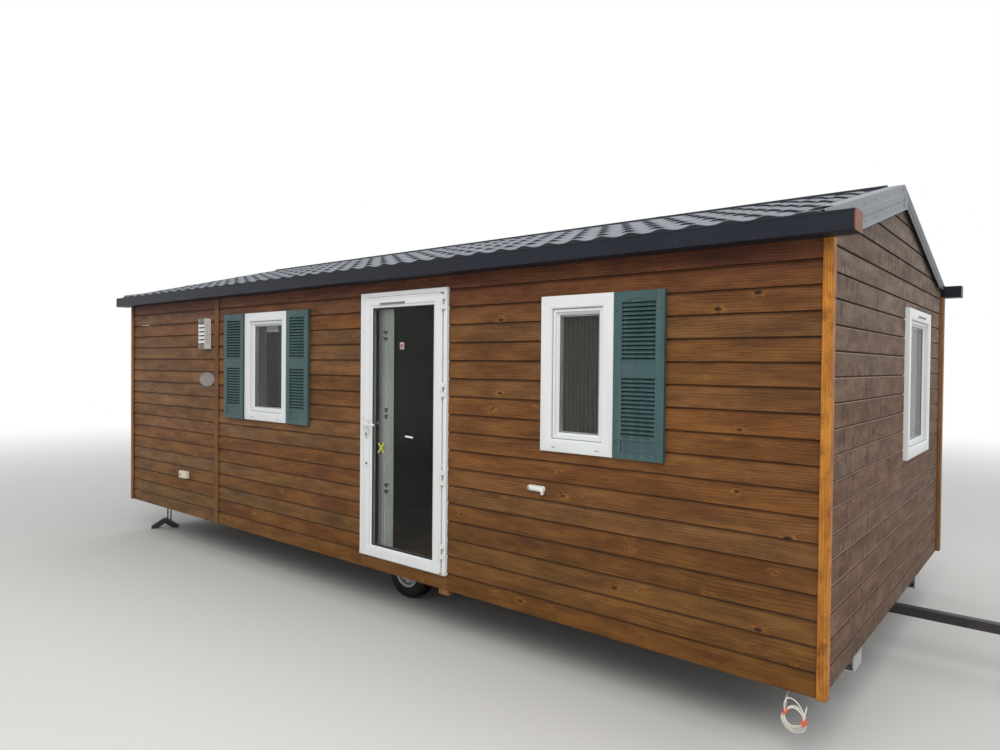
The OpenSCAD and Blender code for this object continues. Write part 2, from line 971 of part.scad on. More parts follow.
module tyre() {
    // The tyre's section, turned about the axle: rounded shoulders and two grooves in the tread
    r = tyre_d / 2;
    bed = rim_d / 2 - 14;
    bead = 22;
    groove = [8, 7];
    color("#1c1c1d")
        translate([axle_x, wheel_y + tyre_w / 2, axle_z])
            rotate([90, 0, 0])
                rotate_extrude($fn = 96)
                    difference() {
                        polygon([
                            [bed, -tyre_w / 2 + bead], [bed + 14, -tyre_w / 2 + bead - 8],
                            [bed + 30, -tyre_w / 2 + 4], [(bed + r) / 2 + 8, -tyre_w / 2],
                            [r - 22, -tyre_w / 2 + 6], [r - 6, -tyre_w / 2 + 16], [r, -tyre_w / 2 + 30],
                            [r, tyre_w / 2 - 30], [r - 6, tyre_w / 2 - 16], [r - 22, tyre_w / 2 - 6],
                            [(bed + r) / 2 + 8, tyre_w / 2], [bed + 30, tyre_w / 2 - 4],
                            [bed + 14, tyre_w / 2 - bead + 8], [bed, tyre_w / 2 - bead]
                        ]);
                        for (side = [-1, 1])
                            translate([r - groove[1], side * 20 - groove[0] / 2])
                                square([groove[1] + eps, groove[0]]);
                    }
}

module rim() {
    // A pressed steel wheel: barrel, rolled flanges, dished disc with hand holes and a hub
    bed = rim_d / 2 - 14;
    bead = 22;
    sheet = 5;
    half = tyre_w / 2;
    color("#c4c7c9")
        translate([axle_x, wheel_y + half, axle_z])
            rotate([90, 0, 0])
                difference() {
                    union() {
                        rotate_extrude($fn = 96)
                            polygon([
                                [bed - sheet, -half + bead - 8], [bed + 13, -half + bead - 14],
                                [bed + 14, -half + bead - 8], [bed, -half + bead],
                                [bed, half - bead], [bed + 14, half - bead + 8],
                                [bed + 13, half - bead + 14], [bed - sheet, half - bead + 8]
                            ]);
                        rotate_extrude($fn = 96)
                            polygon([
                                [stub_d / 2 + hub_clear, half - 44], [hub_r, half - 44],
                                [hub_r + 12, half - 24], [bed - 20, half - 24], [bed - 2, half - 44],
                                [bed - 2, half - 52], [bed - 24, half - 33], [hub_r + 15, half - 33],
                                [hub_r + 3, half - 53], [hub_r, -half + 12],
                                [stub_d / 2 + hub_clear, -half + 12]
                            ]);
                    }
                    for (i = [0:7])
                        rotate([0, 0, i * 45])
                            translate([hub_r + 22, 0, 0])
                                cylinder(d = 18, h = half);
                }
}

module front_tyre() {
    tyre();
}

module front_rim() {
    rim();
}

module back_tyre() {
    mirror([0, 1, 0])
        tyre();
}

module back_rim() {
    mirror([0, 1, 0])
        rim();
}

module drawbar() {
    // A box beam bolted under the cross members, with a tow head that drops over a ball
    head_r = ball_d / 2 + 12;
    head_h = drawbar_w + 14;
    root_x = x_right - drawbar_root;
    beam_end = nose_x - 2 * head_r - 60;
    wall = 5;
    color("#26272a") {
        difference() {
            translate([root_x, -drawbar_w / 2, drawbar_z])
                cube([beam_end - root_x, drawbar_w, drawbar_w]);
            translate([root_x - eps, -drawbar_w / 2 + wall, drawbar_z + wall])
                cube([beam_end - root_x - 40, drawbar_w - 2 * wall, drawbar_w - 2 * wall]);
        }
        difference() {
            union() {
                translate([nose_x - head_r, 0, drawbar_z])
                    cylinder(r = head_r, h = head_h);
                translate([beam_end, -drawbar_w / 2, drawbar_z])
                    cube([nose_x - head_r - beam_end, drawbar_w, drawbar_w]);
            }
            translate([nose_x - head_r, 0, drawbar_z - eps])
                cylinder(d = ball_d + 0.4, h = ball_d + eps);
        }
    }
}

// A stand under each left-hand corner: two rods from the deck to a foot of two splayed arms
stand_at = 7440;
stand_inset = 300;
foot_h = 116;
foot_spread = 145;
foot_turn = 58;

module stand() {
    rod_d = 14;
    rod_gap = 34;
    rod_foot = foot_h - 50;
    rod_off = 45;
    plate = [110, 80, 6];
    translate([from_right(stand_at), front_y + stand_inset, 0]) {
        rotate([0, 0, foot_turn])
            rotate([90, 0, 0])
                translate([0, 0, -foot_arm_t / 2])
                    linear_extrude(foot_arm_t)
                        polygon([
                            [-foot_spread, 0], [-foot_spread + foot_arm_t, 0], [0, foot_h - foot_arm_t],
                            [foot_spread - foot_arm_t, 0], [foot_spread, 0], [foot_spread, 32],
                            [18, foot_h], [-18, foot_h], [-foot_spread, 32]
                        ]);
        rotate([0, 0, foot_turn])
            for (side = [-1, 1])
                translate([rod_off + side * rod_gap / 2, 0, rod_foot])
                    cylinder(d = rod_d, h = floor_z - rod_foot - plate[2] + eps);
        translate([-plate[0] / 2, rod_off * sin(foot_turn) - plate[1] / 2, floor_z - plate[2]])
            cube(plate);
    }
}

module stands() {
    color("#232427")
        for (side = [0, 1])
            mirror([0, side, 0])
                stand();
}

// The hanging cable: a lead from under the deck to a tied coil below the cladding
coil_at = [from_right(160), front_y + 24, skirt_z - 145];
coil_turns_w = 20;
lead_points = [
    [-43, 120, 239.7], [-43, 120, 215], [-43, 118, 188], [-43, 112, 165], [-43, 100, 146],
    [-43, 84, 131], [-43, 62, 120], [-43, 38, 110], [-43, 18, 98], [-43, 6, 83], [-42, 2, 68], [-42, 0, 55]
];

module tube(points, d) {
    // A round tube along a list of points, with eight sides
    sides = 8;
    n = len(points);
    rings = [for (i = [0:n - 1])
        let (
            before = points[max(i - 1, 0)],
            after = points[min(i + 1, n - 1)],
            dir = (after - before) / norm(after - before),
            side = [1, 0, 0] - dir * dir[0],
            u = side / norm(side),
            v = cross(dir, u)
        )
            for (k = [0:sides - 1])
                points[i] + d / 2 * (u * cos(k * 360 / sides) + v * sin(k * 360 / sides))];
    faces = concat(
        [[for (k = [0:sides - 1]) k]],
        [for (i = [0:n - 2], k = [0:sides - 1])
            let (a = i * sides, b = (k + 1) % sides)
                [a + k, a + sides + k, a + sides + b, a + b]],
        [[for (k = [sides - 1:-1:0]) (n - 1) * sides + k]]
    );
    polyhedron(rings, faces);
}

module cable_lead() {
    color("#e9e9e4")
        translate(coil_at)
            tube(lead_points, cable_d);
}

module cable_coil() {
    // The coil's outer shape: a band of turns in an upright plane
    band = 14;
    color("#e9e9e4")
        translate(coil_at)
            rotate([90, 0, 0])
                rotate_extrude($fn = 64)
                    translate([coil_r - band / 2, -coil_turns_w / 2])
                        square([band, coil_turns_w]);
}

front_wall_left();
front_wall_right();
front_wall_over_door();
front_wall_under_door();
back_wall();
left_end_wall();
right_end_wall();
floor();
roof_front();
roof_back();
ridge_cap();
verge_flashings();
gutter_front();
gutter_back();
corner_posts();
cover_batten();
door_frame();
door_hinges();
door_leaf();
door_glass();
door_handle();
door_curtain();
left_window();
left_window_glass();
right_window();
right_window_glass();
end_window();
end_window_glass();
rear_windows();
rear_windows_glass();
left_window_curtains();
right_window_curtain();
end_window_curtain();
left_shutter_outer();
left_shutter_inner();
right_shutter();
flue_terminal();
oval_plate();
wall_fittings();
front_rail();
back_rail();
cross_members();
axle();
drawbar();
stands();
front_tyre();
front_rim();
back_tyre();
back_rim();
cable_lead();
cable_coil();
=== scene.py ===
import math
import random

import bmesh
import bpy
import numpy as np
from mathutils import Matrix, Vector

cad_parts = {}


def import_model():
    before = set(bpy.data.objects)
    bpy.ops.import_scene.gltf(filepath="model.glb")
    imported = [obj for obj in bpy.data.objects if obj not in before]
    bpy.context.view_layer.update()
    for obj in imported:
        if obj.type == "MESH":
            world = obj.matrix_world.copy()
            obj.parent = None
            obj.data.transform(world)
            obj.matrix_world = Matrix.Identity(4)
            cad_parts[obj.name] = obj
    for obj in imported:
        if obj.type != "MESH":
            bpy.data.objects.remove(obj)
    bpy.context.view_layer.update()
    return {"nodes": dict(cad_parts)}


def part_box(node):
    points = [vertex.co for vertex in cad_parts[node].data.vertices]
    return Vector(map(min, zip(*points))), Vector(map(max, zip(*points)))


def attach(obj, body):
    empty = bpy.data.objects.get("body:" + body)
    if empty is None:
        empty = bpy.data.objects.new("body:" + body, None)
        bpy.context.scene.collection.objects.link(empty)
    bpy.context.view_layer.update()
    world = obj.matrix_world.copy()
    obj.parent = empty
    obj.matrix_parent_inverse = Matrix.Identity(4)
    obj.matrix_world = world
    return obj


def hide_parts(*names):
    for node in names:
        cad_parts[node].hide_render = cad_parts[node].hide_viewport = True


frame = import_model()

bpy.context.scene.view_settings.view_transform = "Standard"
TURN = 2 * math.pi

# ---------------------------------------------------------------- places
POST_LO, POST_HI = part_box("corner_posts")
XL, XR = POST_LO[0], POST_HI[0]
WALL_LO, WALL_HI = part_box("back_wall")
CL, CR = WALL_LO[0], WALL_HI[0]
YB = WALL_HI[1]
YF = -YB
SKIRT = WALL_LO[2]
TAN = math.tan(math.radians(14.7))
EAVES = SKIRT + 2.360
ROOF_T = 0.075
WALL_T = 0.090
BOARD_T = 0.018
GUTTER_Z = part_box("gutter_front")[0][2]


def tile_z(y):
    return EAVES + (YB - abs(y)) * TAN


def roof_under(y):
    return tile_z(y) - ROOF_T


def link(name, data):
    """A new object in the scene's own collection."""
    o = bpy.data.objects.new(name, data)
    bpy.context.scene.collection.objects.link(o)
    return o


# ---------------------------------------------------------------- camera
def make_camera():
    cam_data = bpy.data.cameras.new("camera")
    cam = link("camera", cam_data)
    yaw, pitch, roll = 0.6878, -0.0154, 0.00944
    cy, sy = math.cos(yaw), math.sin(yaw)
    fwd = Vector((-sy * math.cos(pitch), cy * math.cos(pitch), math.sin(pitch)))
    right = Vector((cy, sy, 0.0))
    up = right.cross(fwd)
    r = right * math.cos(roll) + up * math.sin(roll)
    u = -right * math.sin(roll) + up * math.cos(roll)
    at = (XR + 0.893, YF - 3.590, SKIRT + 1.612)
    cam.matrix_world = Matrix([(*row,) for row in zip(r, u, -fwd, at)] + [(0, 0, 0, 1)])
    cam_data.sensor_width = 36.0
    cam_data.lens = 699.116 / 1000 * 36.0
    cam_data.clip_end = 200
    bpy.context.scene.camera = cam


make_camera()


# ---------------------------------------------------------------- the free cable with its coil
def smooth_line(pts):
    """A dense line through the points, as a spline of equal steps."""
    P = [np.array(p, float) for p in pts]
    P = [2 * P[0] - P[1]] + P + [2 * P[-1] - P[-2]]
    out = []
    for a, b, c, d in zip(P, P[1:], P[2:], P[3:]):
        n = max(2, int(np.linalg.norm(c - b) / 0.0035))
        for i in range(n):
            t = i / n
            out.append(0.5 * ((2 * b) + (-a + c) * t + (2 * a - 5 * b + 4 * c - d) * t * t
                              + (-a + 3 * b - 3 * c + d) * t ** 3))
    return out + [P[-2]]


def key_curve(keys, x):
    """A smooth periodic curve through (degrees, value) keys."""
    x %= 360.0
    ks = [(k + lap, v) for lap in (-360, 0, 360) for k, v in keys]
    i = next(i for i in range(1, len(ks) - 2) if ks[i][0] <= x < ks[i + 1][0])
    (a0, a), (b0, b), (c0, c), (d0, d) = ks[i - 1:i + 3]
    t = (x - b0) / (c0 - b0)
    m1 = (c - a) / (c0 - a0) * (c0 - b0)
    m2 = (d - b) / (d0 - b0) * (c0 - b0)
    return ((2 * t ** 3 - 3 * t * t + 1) * b + (t ** 3 - 2 * t * t + t) * m1
            + (-2 * t ** 3 + 3 * t * t) * c + (t ** 3 - t * t) * m2)


# the coil in its own plane, in mm: u along the wall, v up, w outwards from turn to turn
COIL_AT = (XR - 0.160, YF + 0.024, SKIRT - 0.145)
LANE, LANE_0, START = 6.4, 15.0, 144.0
R_OUT = [(0, 55), (40, 61), (90, 67), (144, 54), (190, 66), (230, 71), (270, 73), (310, 71), (335, 65)]
R_STEP = [(0, 1.8), (45, 3.2), (90, 3.0), (120, 2.2), (148, 1.8), (190, 7.0), (230, 9.5), (270, 10.5),
          (310, 9.5), (340, 5.0)]


def lane(phi):
    return LANE_0 - LANE * (phi - START) / 360.0


def coil_point(phi):
    r = key_curve(R_OUT, phi) - (phi - START) / 360.0 * key_curve(R_STEP, phi)
    a = math.radians(phi)
    return (r * math.cos(a), lane(phi), r * math.sin(a))


def cable():
    pts = [(-43, 120, 239.7), (-43, 120, 215), (-43, 118, 188), (-43, 112, 165), (-43, 100, 146), (-43, 84, 131),
           (-43, 64, 119), (-43, 45, 109), (-43, 29, 97), (-42.6, 19.5, 80), (-42, 15.8, 60), (-42.2, 15.2, 46)]
    pts += [coil_point(phi) for phi in range(147, 1436, 12)]
    # one turn runs high as a loose loop, the last ones lie in the coil again, and the end stands up
    loop = [(50, 2), (51.5, 22), (47, 48), (33, 76), (10, 98), (-16, 106), (-35, 95), (-43, 72), (-42, 50),
            (-39.5, 32)]
    pts += [(u, lane(1440) - LANE * 0.4 * (i + 1) / len(loop), v) for i, (u, v) in enumerate(loop)]
    pts += [coil_point(phi) for phi in range(1596, 1800, 12)]
    pts += [(u, lane(1800) + w, v) for u, w, v in ((48.2, 0, 2), (51, 0, 20), (56.5, 0, 44), (62, 1, 66), (64, 2, 87))]
    line = smooth_line([[c + q / 1000 for c, q in zip(COIL_AT, p)] for p in pts])
    cu = bpy.data.curves.new("cable", "CURVE")
    cu.dimensions = "3D"
    cu.bevel_depth = 0.3
    cu.bevel_resolution = 4
    cu.use_fill_caps = True
    sp = cu.splines.new("POLY")
    sp.points.add(len(line) - 1)
    for p, q in zip(sp.points, line):
        p.co = (*q, 1.0)
        p.radius = 0.01
    o = link("cable", cu)
    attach(o, "house")
    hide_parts("cable_lead", "cable_coil")
    return o, line, sum(math.dist(a, b) for a, b in zip(line, line[1:]))


CABLE, CABLE_LINE, CABLE_LONG = cable()


# ---------------------------------------------------------------- node helpers
class Sock:
    """An output socket in the tree in hand; arithmetic on it adds Math nodes."""

    def __init__(self, sock):
        self.sock = sock

    def __add__(self, o):
        return calc("ADD", self, o)

    def __sub__(self, o):
        return calc("SUBTRACT", self, o)

    def __rsub__(self, o):
        return calc("SUBTRACT", o, self)

    def __mul__(self, o):
        return calc("MULTIPLY", self, o)

    def __truediv__(self, o):
        return calc("DIVIDE", self, o)

    def mad(self, m, a):
        """self * m + a in one node."""
        return calc("MULTIPLY_ADD", self, m, a)


class Tree:
    """The node tree in hand: the helpers below add to Tree.nt."""
    nt = None


def put(sock, v):
    if isinstance(v, Sock):
        Tree.nt.links.new(v.sock, sock)
        return
    if hasattr(sock.default_value, "__len__"):
        v = tuple(v) if hasattr(v, "__len__") else (v,) * len(sock.default_value)
        if len(sock.default_value) == 4 and len(v) == 3:
            v += (1.0,)
    sock.default_value = v


def nd(kind, ins=(), out=0, **props):
    """Adds a node; ins: its inputs by index or name; returns the output named, or the node for out=None."""
    n = Tree.nt.nodes.new("ShaderNode" + kind)
    for k, v in props.items():
        setattr(n, k, v)
    for k, v in dict(ins).items():
        put(n.inputs[k], v)
    return n if out is None else Sock(n.outputs[out])


def calc(op, *args, clamp=False):
    return nd("Math", enumerate(args), operation=op, use_clamp=clamp)


def new_tree(nt, output):
    Tree.nt = nt
    nt.nodes.clear()
    return nd(output, out=None).inputs[0]


def new_mat(name):
    """A material with one Principled shader, and that shader's inputs."""
    m = bpy.data.materials.new(name)
    m.use_nodes = True
    surface = new_tree(m.node_tree, "OutputMaterial")
    b = nd("BsdfPrincipled", out=None)
    put(surface, Sock(b.outputs[0]))
    return m, b.inputs


def ramp(fac, stops, interp="LINEAR"):
    n = nd("ValToRGB", {0: fac}, None)
    cr = n.color_ramp
    cr.interpolation = interp
    while len(cr.elements) < len(stops):
        cr.elements.new(0.5)
    for e, (p, c) in zip(cr.elements, stops):
        e.position = p
        e.color = (*c, 1) if hasattr(c, "__len__") else (c, c, c, 1)
    return Sock(n.outputs[0])


def step(x, a, b, va=0.0, vb=1.0, interp="LINEAR"):
    """Goes from va at a to vb at b."""
    return ramp(x, [(a, va), (b, vb)], interp)


def fall(x, a, b, interp="LINEAR"):
    return step(x, a, b, 1.0, 0.0, interp)


def mix(fac, a, b, mode="MIX"):
    return nd("Mix", {0: fac, 6: a, 7: b}, 2, data_type="RGBA", blend_type=mode)


def tinted(fac, col, tint):
    """Multiplies the colour by a tint, in part."""
    return mix(fac, col, mix(1.0, col, tint, "MULTIPLY"))


def obj_coords():
    return nd("TexCoord", out="Object")


def parts(vec):
    n = nd("SeparateXYZ", {0: vec}, None)
    return [Sock(s) for s in n.outputs]


def noise(vec, scale=5.0, detail=4.0, rough=0.55):
    """Noise on vec at one scale, or at a scale for each axis."""
    if hasattr(scale, "__len__"):
        vec, scale = nd("Mapping", {"Vector": vec, "Scale": scale}), 1.0
    return nd("TexNoise", {"Vector": vec, "Scale": scale, "Detail": detail, "Roughness": rough})


def cells(vec, scale):
    n = nd("TexVoronoi", {"Vector": vec, "Scale": scale, "Randomness": 1.0}, None, feature="F1")
    return Sock(n.outputs["Distance"]), Sock(n.outputs["Color"])


def attr(name):
    return nd("Attribute", out="Fac", attribute_name=name, attribute_type="GEOMETRY")


def finish_mat(b, col, rough, height, strength, dist, **more):
    """Joins colour, roughness and bump to the shader, and sets its other inputs."""
    put(b["Base Color"], col)
    put(b["Roughness"], rough)
    put(b["Normal"], nd("Bump", {"Height": height, "Strength": strength, "Distance": dist}))
    for k, v in more.items():
        put(b[k.replace("_", " ")], v)


def srgb(col):
    return tuple(c / 12.92 if c <= 0.04045 else ((c + 0.055) / 1.055) ** 2.4 for c in (v / 255 for v in col))


def scaled(col, k):
    return tuple(min(1.0, c * k) for c in col)


# ---------------------------------------------------------------- wood
def wood(name, palette, along="X", grain=1.0, knots=1.0, rough=0.62, tone=0.30, zone=None, weather=0.0,
         bump_s=0.35, spec=0.25, drip=0.0, scuff=0.6, fine=1.0, blot=0.95):
    """Softwood with growth lines, fibre streaks and knots; every board differs by its own number."""
    light, mid, dark, knot_col = map(srgb, palette)
    m, b = new_mat(name)
    co = obj_coords()
    rnd = attr("rnd")
    xyz = parts(co)
    own = nd("CombineXYZ", {0: rnd * 37.3, 1: rnd * 11.7, 2: rnd * 53.1})
    turned = nd("CombineXYZ", enumerate(xyz[k] for k in {"X": (0, 1, 2), "Y": (1, 0, 2), "Z": (2, 1, 0)}[along]))
    p = nd("VectorMath", {0: turned, 1: own}, operation="ADD")
    # knots: one candidate in each cell, most of them switched off
    kd, kc = cells(nd("Mapping", {"Vector": p, "Scale": (4.6, 5.0, 9.0)}), 1.0)
    kc = nd("SeparateColor", {0: kc}, None).outputs
    keep = step(Sock(kc[0]), 0.42, 0.46)
    kn = kd / Sock(kc[1]).mad(0.060, 0.048)
    core = fall(kn, 0.5, 1.0) * keep * knots
    halo = fall(kn * 0.24, 0.0, 1.0, "EASE") * keep * knots
    ring = ramp(kn * 0.25, [(0.22, 0.0), (0.34, 1.0), (0.85, 0.0)]) * keep
    # growth lines bent round the knots
    phase = parts(p)[2] * (430.0 * grain) + noise(p, (0.7, 2.0, 4.0), 2.0, 0.5) * 60.0
    phase = phase + noise(p, (3.0, 6.0, 22.0), 3.0, 0.6) * 5.0 + halo * 9.0
    lines = ramp(calc("SINE", phase).mad(0.5, 0.5), [(0.0, 0.0), (0.5, 0.3), (0.88, 1.0), (1.0, 0.7)])
    fib = noise(p, (4.0, 50.0, 300.0 * grain), 5.0, 0.68)
    blotch = noise(p, (2.6, 4.0, 12.0), 6.0, 0.64)
    g = lines.mad(0.16 * fine, 0.16 - 0.16 * fine) + fib.mad(0.50 * fine, 0.25 - 0.25 * fine) + (blotch - 0.5) * blot
    col = ramp(g, [(0.10, light), (0.40, mid), (0.80, dark)])
    # the board's own tone
    t1, t2 = calc("FRACT", rnd * 7.13), calc("FRACT", rnd * 23.7)
    col = nd("HueSaturation", {"Hue": t2.mad(0.009, 0.4945), "Saturation": t2.mad(-0.10, 1.0),
                               "Value": t1.mad(tone, 1.0 - tone * 0.5), "Color": col})
    whisk = step(noise(p, (26, 30, 150), 3.0, 0.6), 0.44, 0.56)
    col = mix(halo * 0.35, col, dark)
    col = mix(ring * whisk * (0.55 * knots), col, scaled(light, 1.75))
    col = mix(core * 0.92, col, knot_col)
    # short dark checks and pale scuffs
    ck = noise(p, (9, 30, 190), 3.0, 0.6)
    ckm = noise(nd("Mapping", {"Vector": p, "Scale": (2.3, 4, 14), "Location": (3, 1, 2)}), 1.0, 2.0, 0.5)
    col = mix(step(ck, 0.60, 0.70) * step(ckm, 0.50, 0.62) * (0.55 * scuff), col, knot_col)
    col = mix(fall(ck, 0.30, 0.40) * fall(ckm, 0.36, 0.48) * (0.50 * scuff), col, scaled(light, 1.7))
    if zone:
        col = zone(xyz, col, co)
    if weather:
        wm = step(noise(co, (2.2, 2.2, 0.9), 5.0, 0.62), 0.46, 0.72) \
            * step(noise(co, (5, 5, 60), 4.0, 0.6), 0.42, 0.66, 0.1)
        col = mix(wm * weather, col, scaled(light, 1.35))
    if drip:
        dn = noise(p, (24, 24, 10) if along == "Y" else (12, 12, 18), 5.0, 0.62)
        dn2 = noise(co, (4, 4, 3), 4.0, 0.6)
        col = mix(step(dn, 0.50, 0.62) * step(dn2, 0.40, 0.60, 0.15) * drip, col, scaled(dark, 0.62))
        col = mix(fall(dn, 0.34, 0.44) * step(dn2, 0.42, 0.58, 1.0, 0.2) * (drip * 0.6), col, scaled(light, 1.35))
    # painted shade: points lying deep in a board's groove or scoop (attribute dep) are painted darker
    col = mix(step(attr("dep"), 0.12, 0.62) * 0.74, col, scaled(dark, 0.42))
    h = fib * 0.6 + lines * 0.35 + core * 0.5 + noise(p, (20, 30, 120), 2.0) * 0.3
    finish_mat(b, col, calc("ADD", fib.mad(0.22, rough - 0.1), core * -0.12, clamp=True), h, bump_s, 0.0018,
               Specular_IOR_Level=spec)
    return m


def front_zone(xyz, col, co):
    """The door wall: redder under the gutter and darker there as painted shade of the eaves, more orange low down,
    greyer to the left.
    """
    zt = noise(co, (1.1, 1, 2.0), 3.0).mad(0.25, xyz[2] - SKIRT) / 2.5
    # painted shade of the eaves: the band under the gutter is tinted redder and darker
    col = tinted(step(zt, 0.80, 0.93) * 0.72, col, (0.62, 0.40, 0.78))
    col = tinted(fall(zt, 0.08, 0.42) * 0.85, col, (0.86, 0.86, 0.50))
    return tinted(step((XR - xyz[0]) / 8.0, 0.52, 0.86) * 0.85, col, (1.22, 1.42, 1.95))


def gable_zone(xyz, col, co):
    """The end walls: browner low down, greyer and paler under the roof."""
    zt = noise(co, (1.0, 1.4, 2.0), 3.0).mad(0.35, xyz[2] - SKIRT) / 3.0
    return tinted(step(zt, 0.52, 0.92), col, (1.25, 1.62, 2.0))


M_FRONT = wood("front_boards", ((123, 80, 34), (92, 56, 22), (57, 34, 13), (30, 17, 9)), zone=front_zone,
               weather=0.45, tone=0.15, scuff=1.2, bump_s=0.5, knots=1.2, blot=1.20)
M_GABLE = wood("painted_boards", ((124, 98, 80), (102, 78, 61), (72, 53, 42), (50, 35, 28)), "Y", 0.8, 0.5, 0.74,
               0.10, gable_zone, 0.25, 0.40, 0.2, drip=0.70, scuff=0.8, fine=0.25, blot=1.4)
M_HONEY = wood("honey_timber", ((187, 123, 22), (156, 93, 12), (104, 55, 8), (50, 25, 8)), "Z", rough=0.5,
               tone=0.08, drip=0.50, weather=0.25, knots=1.4, blot=1.6)
M_HONEY2 = wood("honey_timber_shaded", ((150, 104, 62), (124, 82, 46), (92, 58, 34), (60, 38, 26)), "Z", rough=0.6,
                tone=0.08, weather=0.25)
M_DARKWOOD = wood("batten_timber", ((128, 88, 50), (100, 66, 36), (70, 44, 24), (42, 25, 15)), "Z", knots=0.8,
                  tone=0.12, weather=0.25)
M_LINING = wood("lining_panels", ((112, 94, 76), (92, 76, 60), (70, 56, 43), (50, 38, 30)), "Z", knots=0.5,
                rough=0.6, tone=0.1)
M_FLOORIN = wood("floor_boards", ((112, 94, 74), (92, 74, 56), (66, 52, 39), (46, 34, 26)), "X", knots=0.6,
                 rough=0.5, tone=0.25)


# ---------------------------------------------------------------- plain finishes with detail
def dirt_mask(co, scale, lo, hi):
    return step(noise(nd("Mapping", {"Vector": co, "Scale": (1, 1, 0.35)}), scale, 6.0, 0.6), lo, hi)


def coat(name, base, rough=0.4, var=0.06, dirt=0.15, dirt_col=None, bump_s=0.08, metal=0.0, spec=0.5, streak=0.0,
         grain=None):
    """Paint or moulded plastic: soft cloudiness, specks, dust and a fine orange-peel surface."""
    base = srgb(base)
    m, b = new_mat(name)
    co = obj_coords()
    cloud = noise(co, 3.1, 5.0, 0.6)
    speck = step(noise(co, 160.0, 3.0, 0.7), 0.58, 0.74)
    dm = calc("ADD", dirt_mask(co, 5.0, 0.48, 0.82) * dirt, speck * (dirt * 0.5), clamp=True)
    if streak:
        dm = calc("ADD", dm, step(noise(co, (34, 34, 1.6), 4.0, 0.6), 0.5, 0.75) * streak, clamp=True)
    col = mix(dm, step(cloud, 0.3, 0.7, scaled(base, 1 - var), scaled(base, 1 + var)),
              srgb(dirt_col) if dirt_col else (0.12, 0.11, 0.10))
    h = noise(co, 220.0, 3.0, 0.6) + noise(co, 18.0, 3.0) * 0.8
    if grain:
        h = h * 0.4 + noise(co, grain, 5.0, 0.7) * 4.0
    finish_mat(b, col, calc("ADD", cloud.mad(0.18, rough - 0.09), dm * 0.3, clamp=True), h, bump_s, 0.001,
               Metallic=metal, Specular_IOR_Level=spec)
    return m


def galv_mat(name):
    """Hot-dip galvanised steel: spangle cells, dull patches, white bloom and rust at the seams."""
    m, b = new_mat(name)
    co = obj_coords()
    base = (0.50, 0.52, 0.53)
    cell = nd("SeparateColor", {0: cells(co, 62.0)[1]})
    col = step(cell * 0.35 + noise(co, 4.0, 5.0, 0.6) * 0.75, 0.15, 0.85, scaled(base, 0.72), scaled(base, 1.2))
    col = mix(dirt_mask(co, 8.0, 0.55, 0.8) * 0.35, col, (0.66, 0.66, 0.63))
    rm = calc("MINIMUM", step(noise(co, 14.0, 6.0, 0.68), 0.60, 0.74) * 0.48, 0.9)
    finish_mat(b, mix(rm, col, (0.22, 0.10, 0.045)), cell.mad(0.16, 0.42), cell * 0.3 + noise(co, 90.0, 4.0), 0.12,
               0.001, Metallic=rm.mad(-0.7, 0.7))
    return m


def glass_mat(name, tint=(0.90, 0.915, 0.91), ior=1.13):
    m, b = new_mat(name)
    co = obj_coords()
    finish_mat(b, step(noise(co, 2.0, 3.0), 0.3, 0.7, scaled(tint, 0.97), tint), dirt_mask(co, 6.0, 0.55, 0.9) * 0.05,
               noise(co, 1.7, 1.0), 0.02, 0.003, Metallic=0.0, Transmission_Weight=1.0, IOR=ior,
               Specular_IOR_Level=0.5)
    return m


def rubber_mat(name):
    m, b = new_mat(name)
    co = obj_coords()
    cloud = noise(co, 11.0, 6.0, 0.65)
    dust = step(noise(co, 34.0, 5.0, 0.7), 0.46, 0.74)
    col = step(cloud, 0.3, 0.75, (0.008, 0.008, 0.008), (0.020, 0.019, 0.018))
    finish_mat(b, mix(dust * 0.30, col, (0.085, 0.075, 0.065)), dust.mad(0.2, 0.66),
               noise(co, 260.0, 3.0) + cloud * 0.7, 0.25, 0.001, Specular_IOR_Level=0.22)
    return m


# name, colour, roughness, cloudiness, dirt, its colour, bump
M_PVC = coat("white_pvc", (218, 220, 220), 0.30, 0.012, 0.07, (150, 146, 138), 0.03, streak=0.03)
# mid grey: the gaskets' own finish, and also painted shade in the drain and vent slots
M_GASKET = coat("gasket", (92, 94, 96), 0.6, 0.1, 0.2, (90, 88, 84))
M_WHITE = coat("white_coated", (218, 218, 214), 0.36, 0.02, 0.12, (130, 124, 114))
M_TEAL = coat("teal_plastic", (50, 76, 77), 0.50, 0.14, 0.30, (104, 122, 122), 0.20, streak=0.30,
              grain=(55, 55, 3.0))
M_TEALPANEL = coat("teal_plastic_panel", (50, 74, 76), 0.52, 0.16, 0.50, (98, 112, 114), 0.14, streak=0.10,
                   grain=(3.0, 55, 90))
M_ANTH = coat("anthracite_sheet", (31, 33, 42), 0.42, 0.10, 0.08, (70, 72, 76), 0.04, streak=0.06, spec=0.18)
M_TILE = coat("tile_sheet", (112, 117, 124), 0.48, 0.14, 0.30, (70, 72, 74), 0.12, spec=0.14)
M_FLASH = coat("grey_flashing_sheet", (114, 118, 124), 0.44, 0.05, 0.14, (100, 98, 94), 0.05, 0.15, streak=0.10)
# the tiles' step fronts, sheet edges and open wave ends are painted this dark as shade
M_TILE_SHADE = coat("tile_step_painted_shade", (38, 41, 46), 0.5, 0.12, 0.2, (80, 80, 78), spec=0.2)
M_COPPER = coat("brown_cap", (122, 74, 60), 0.55, 0.12, 0.35, (98, 84, 76))
M_CREAM = coat("cream_plastic", (214, 206, 184), 0.42, 0.03, 0.15, (140, 130, 112))
M_FLASHDARK = coat("grey_flashing_shaded", (74, 78, 84), 0.5, 0.08, 0.14, (60, 58, 56), 0.05, streak=0.10)
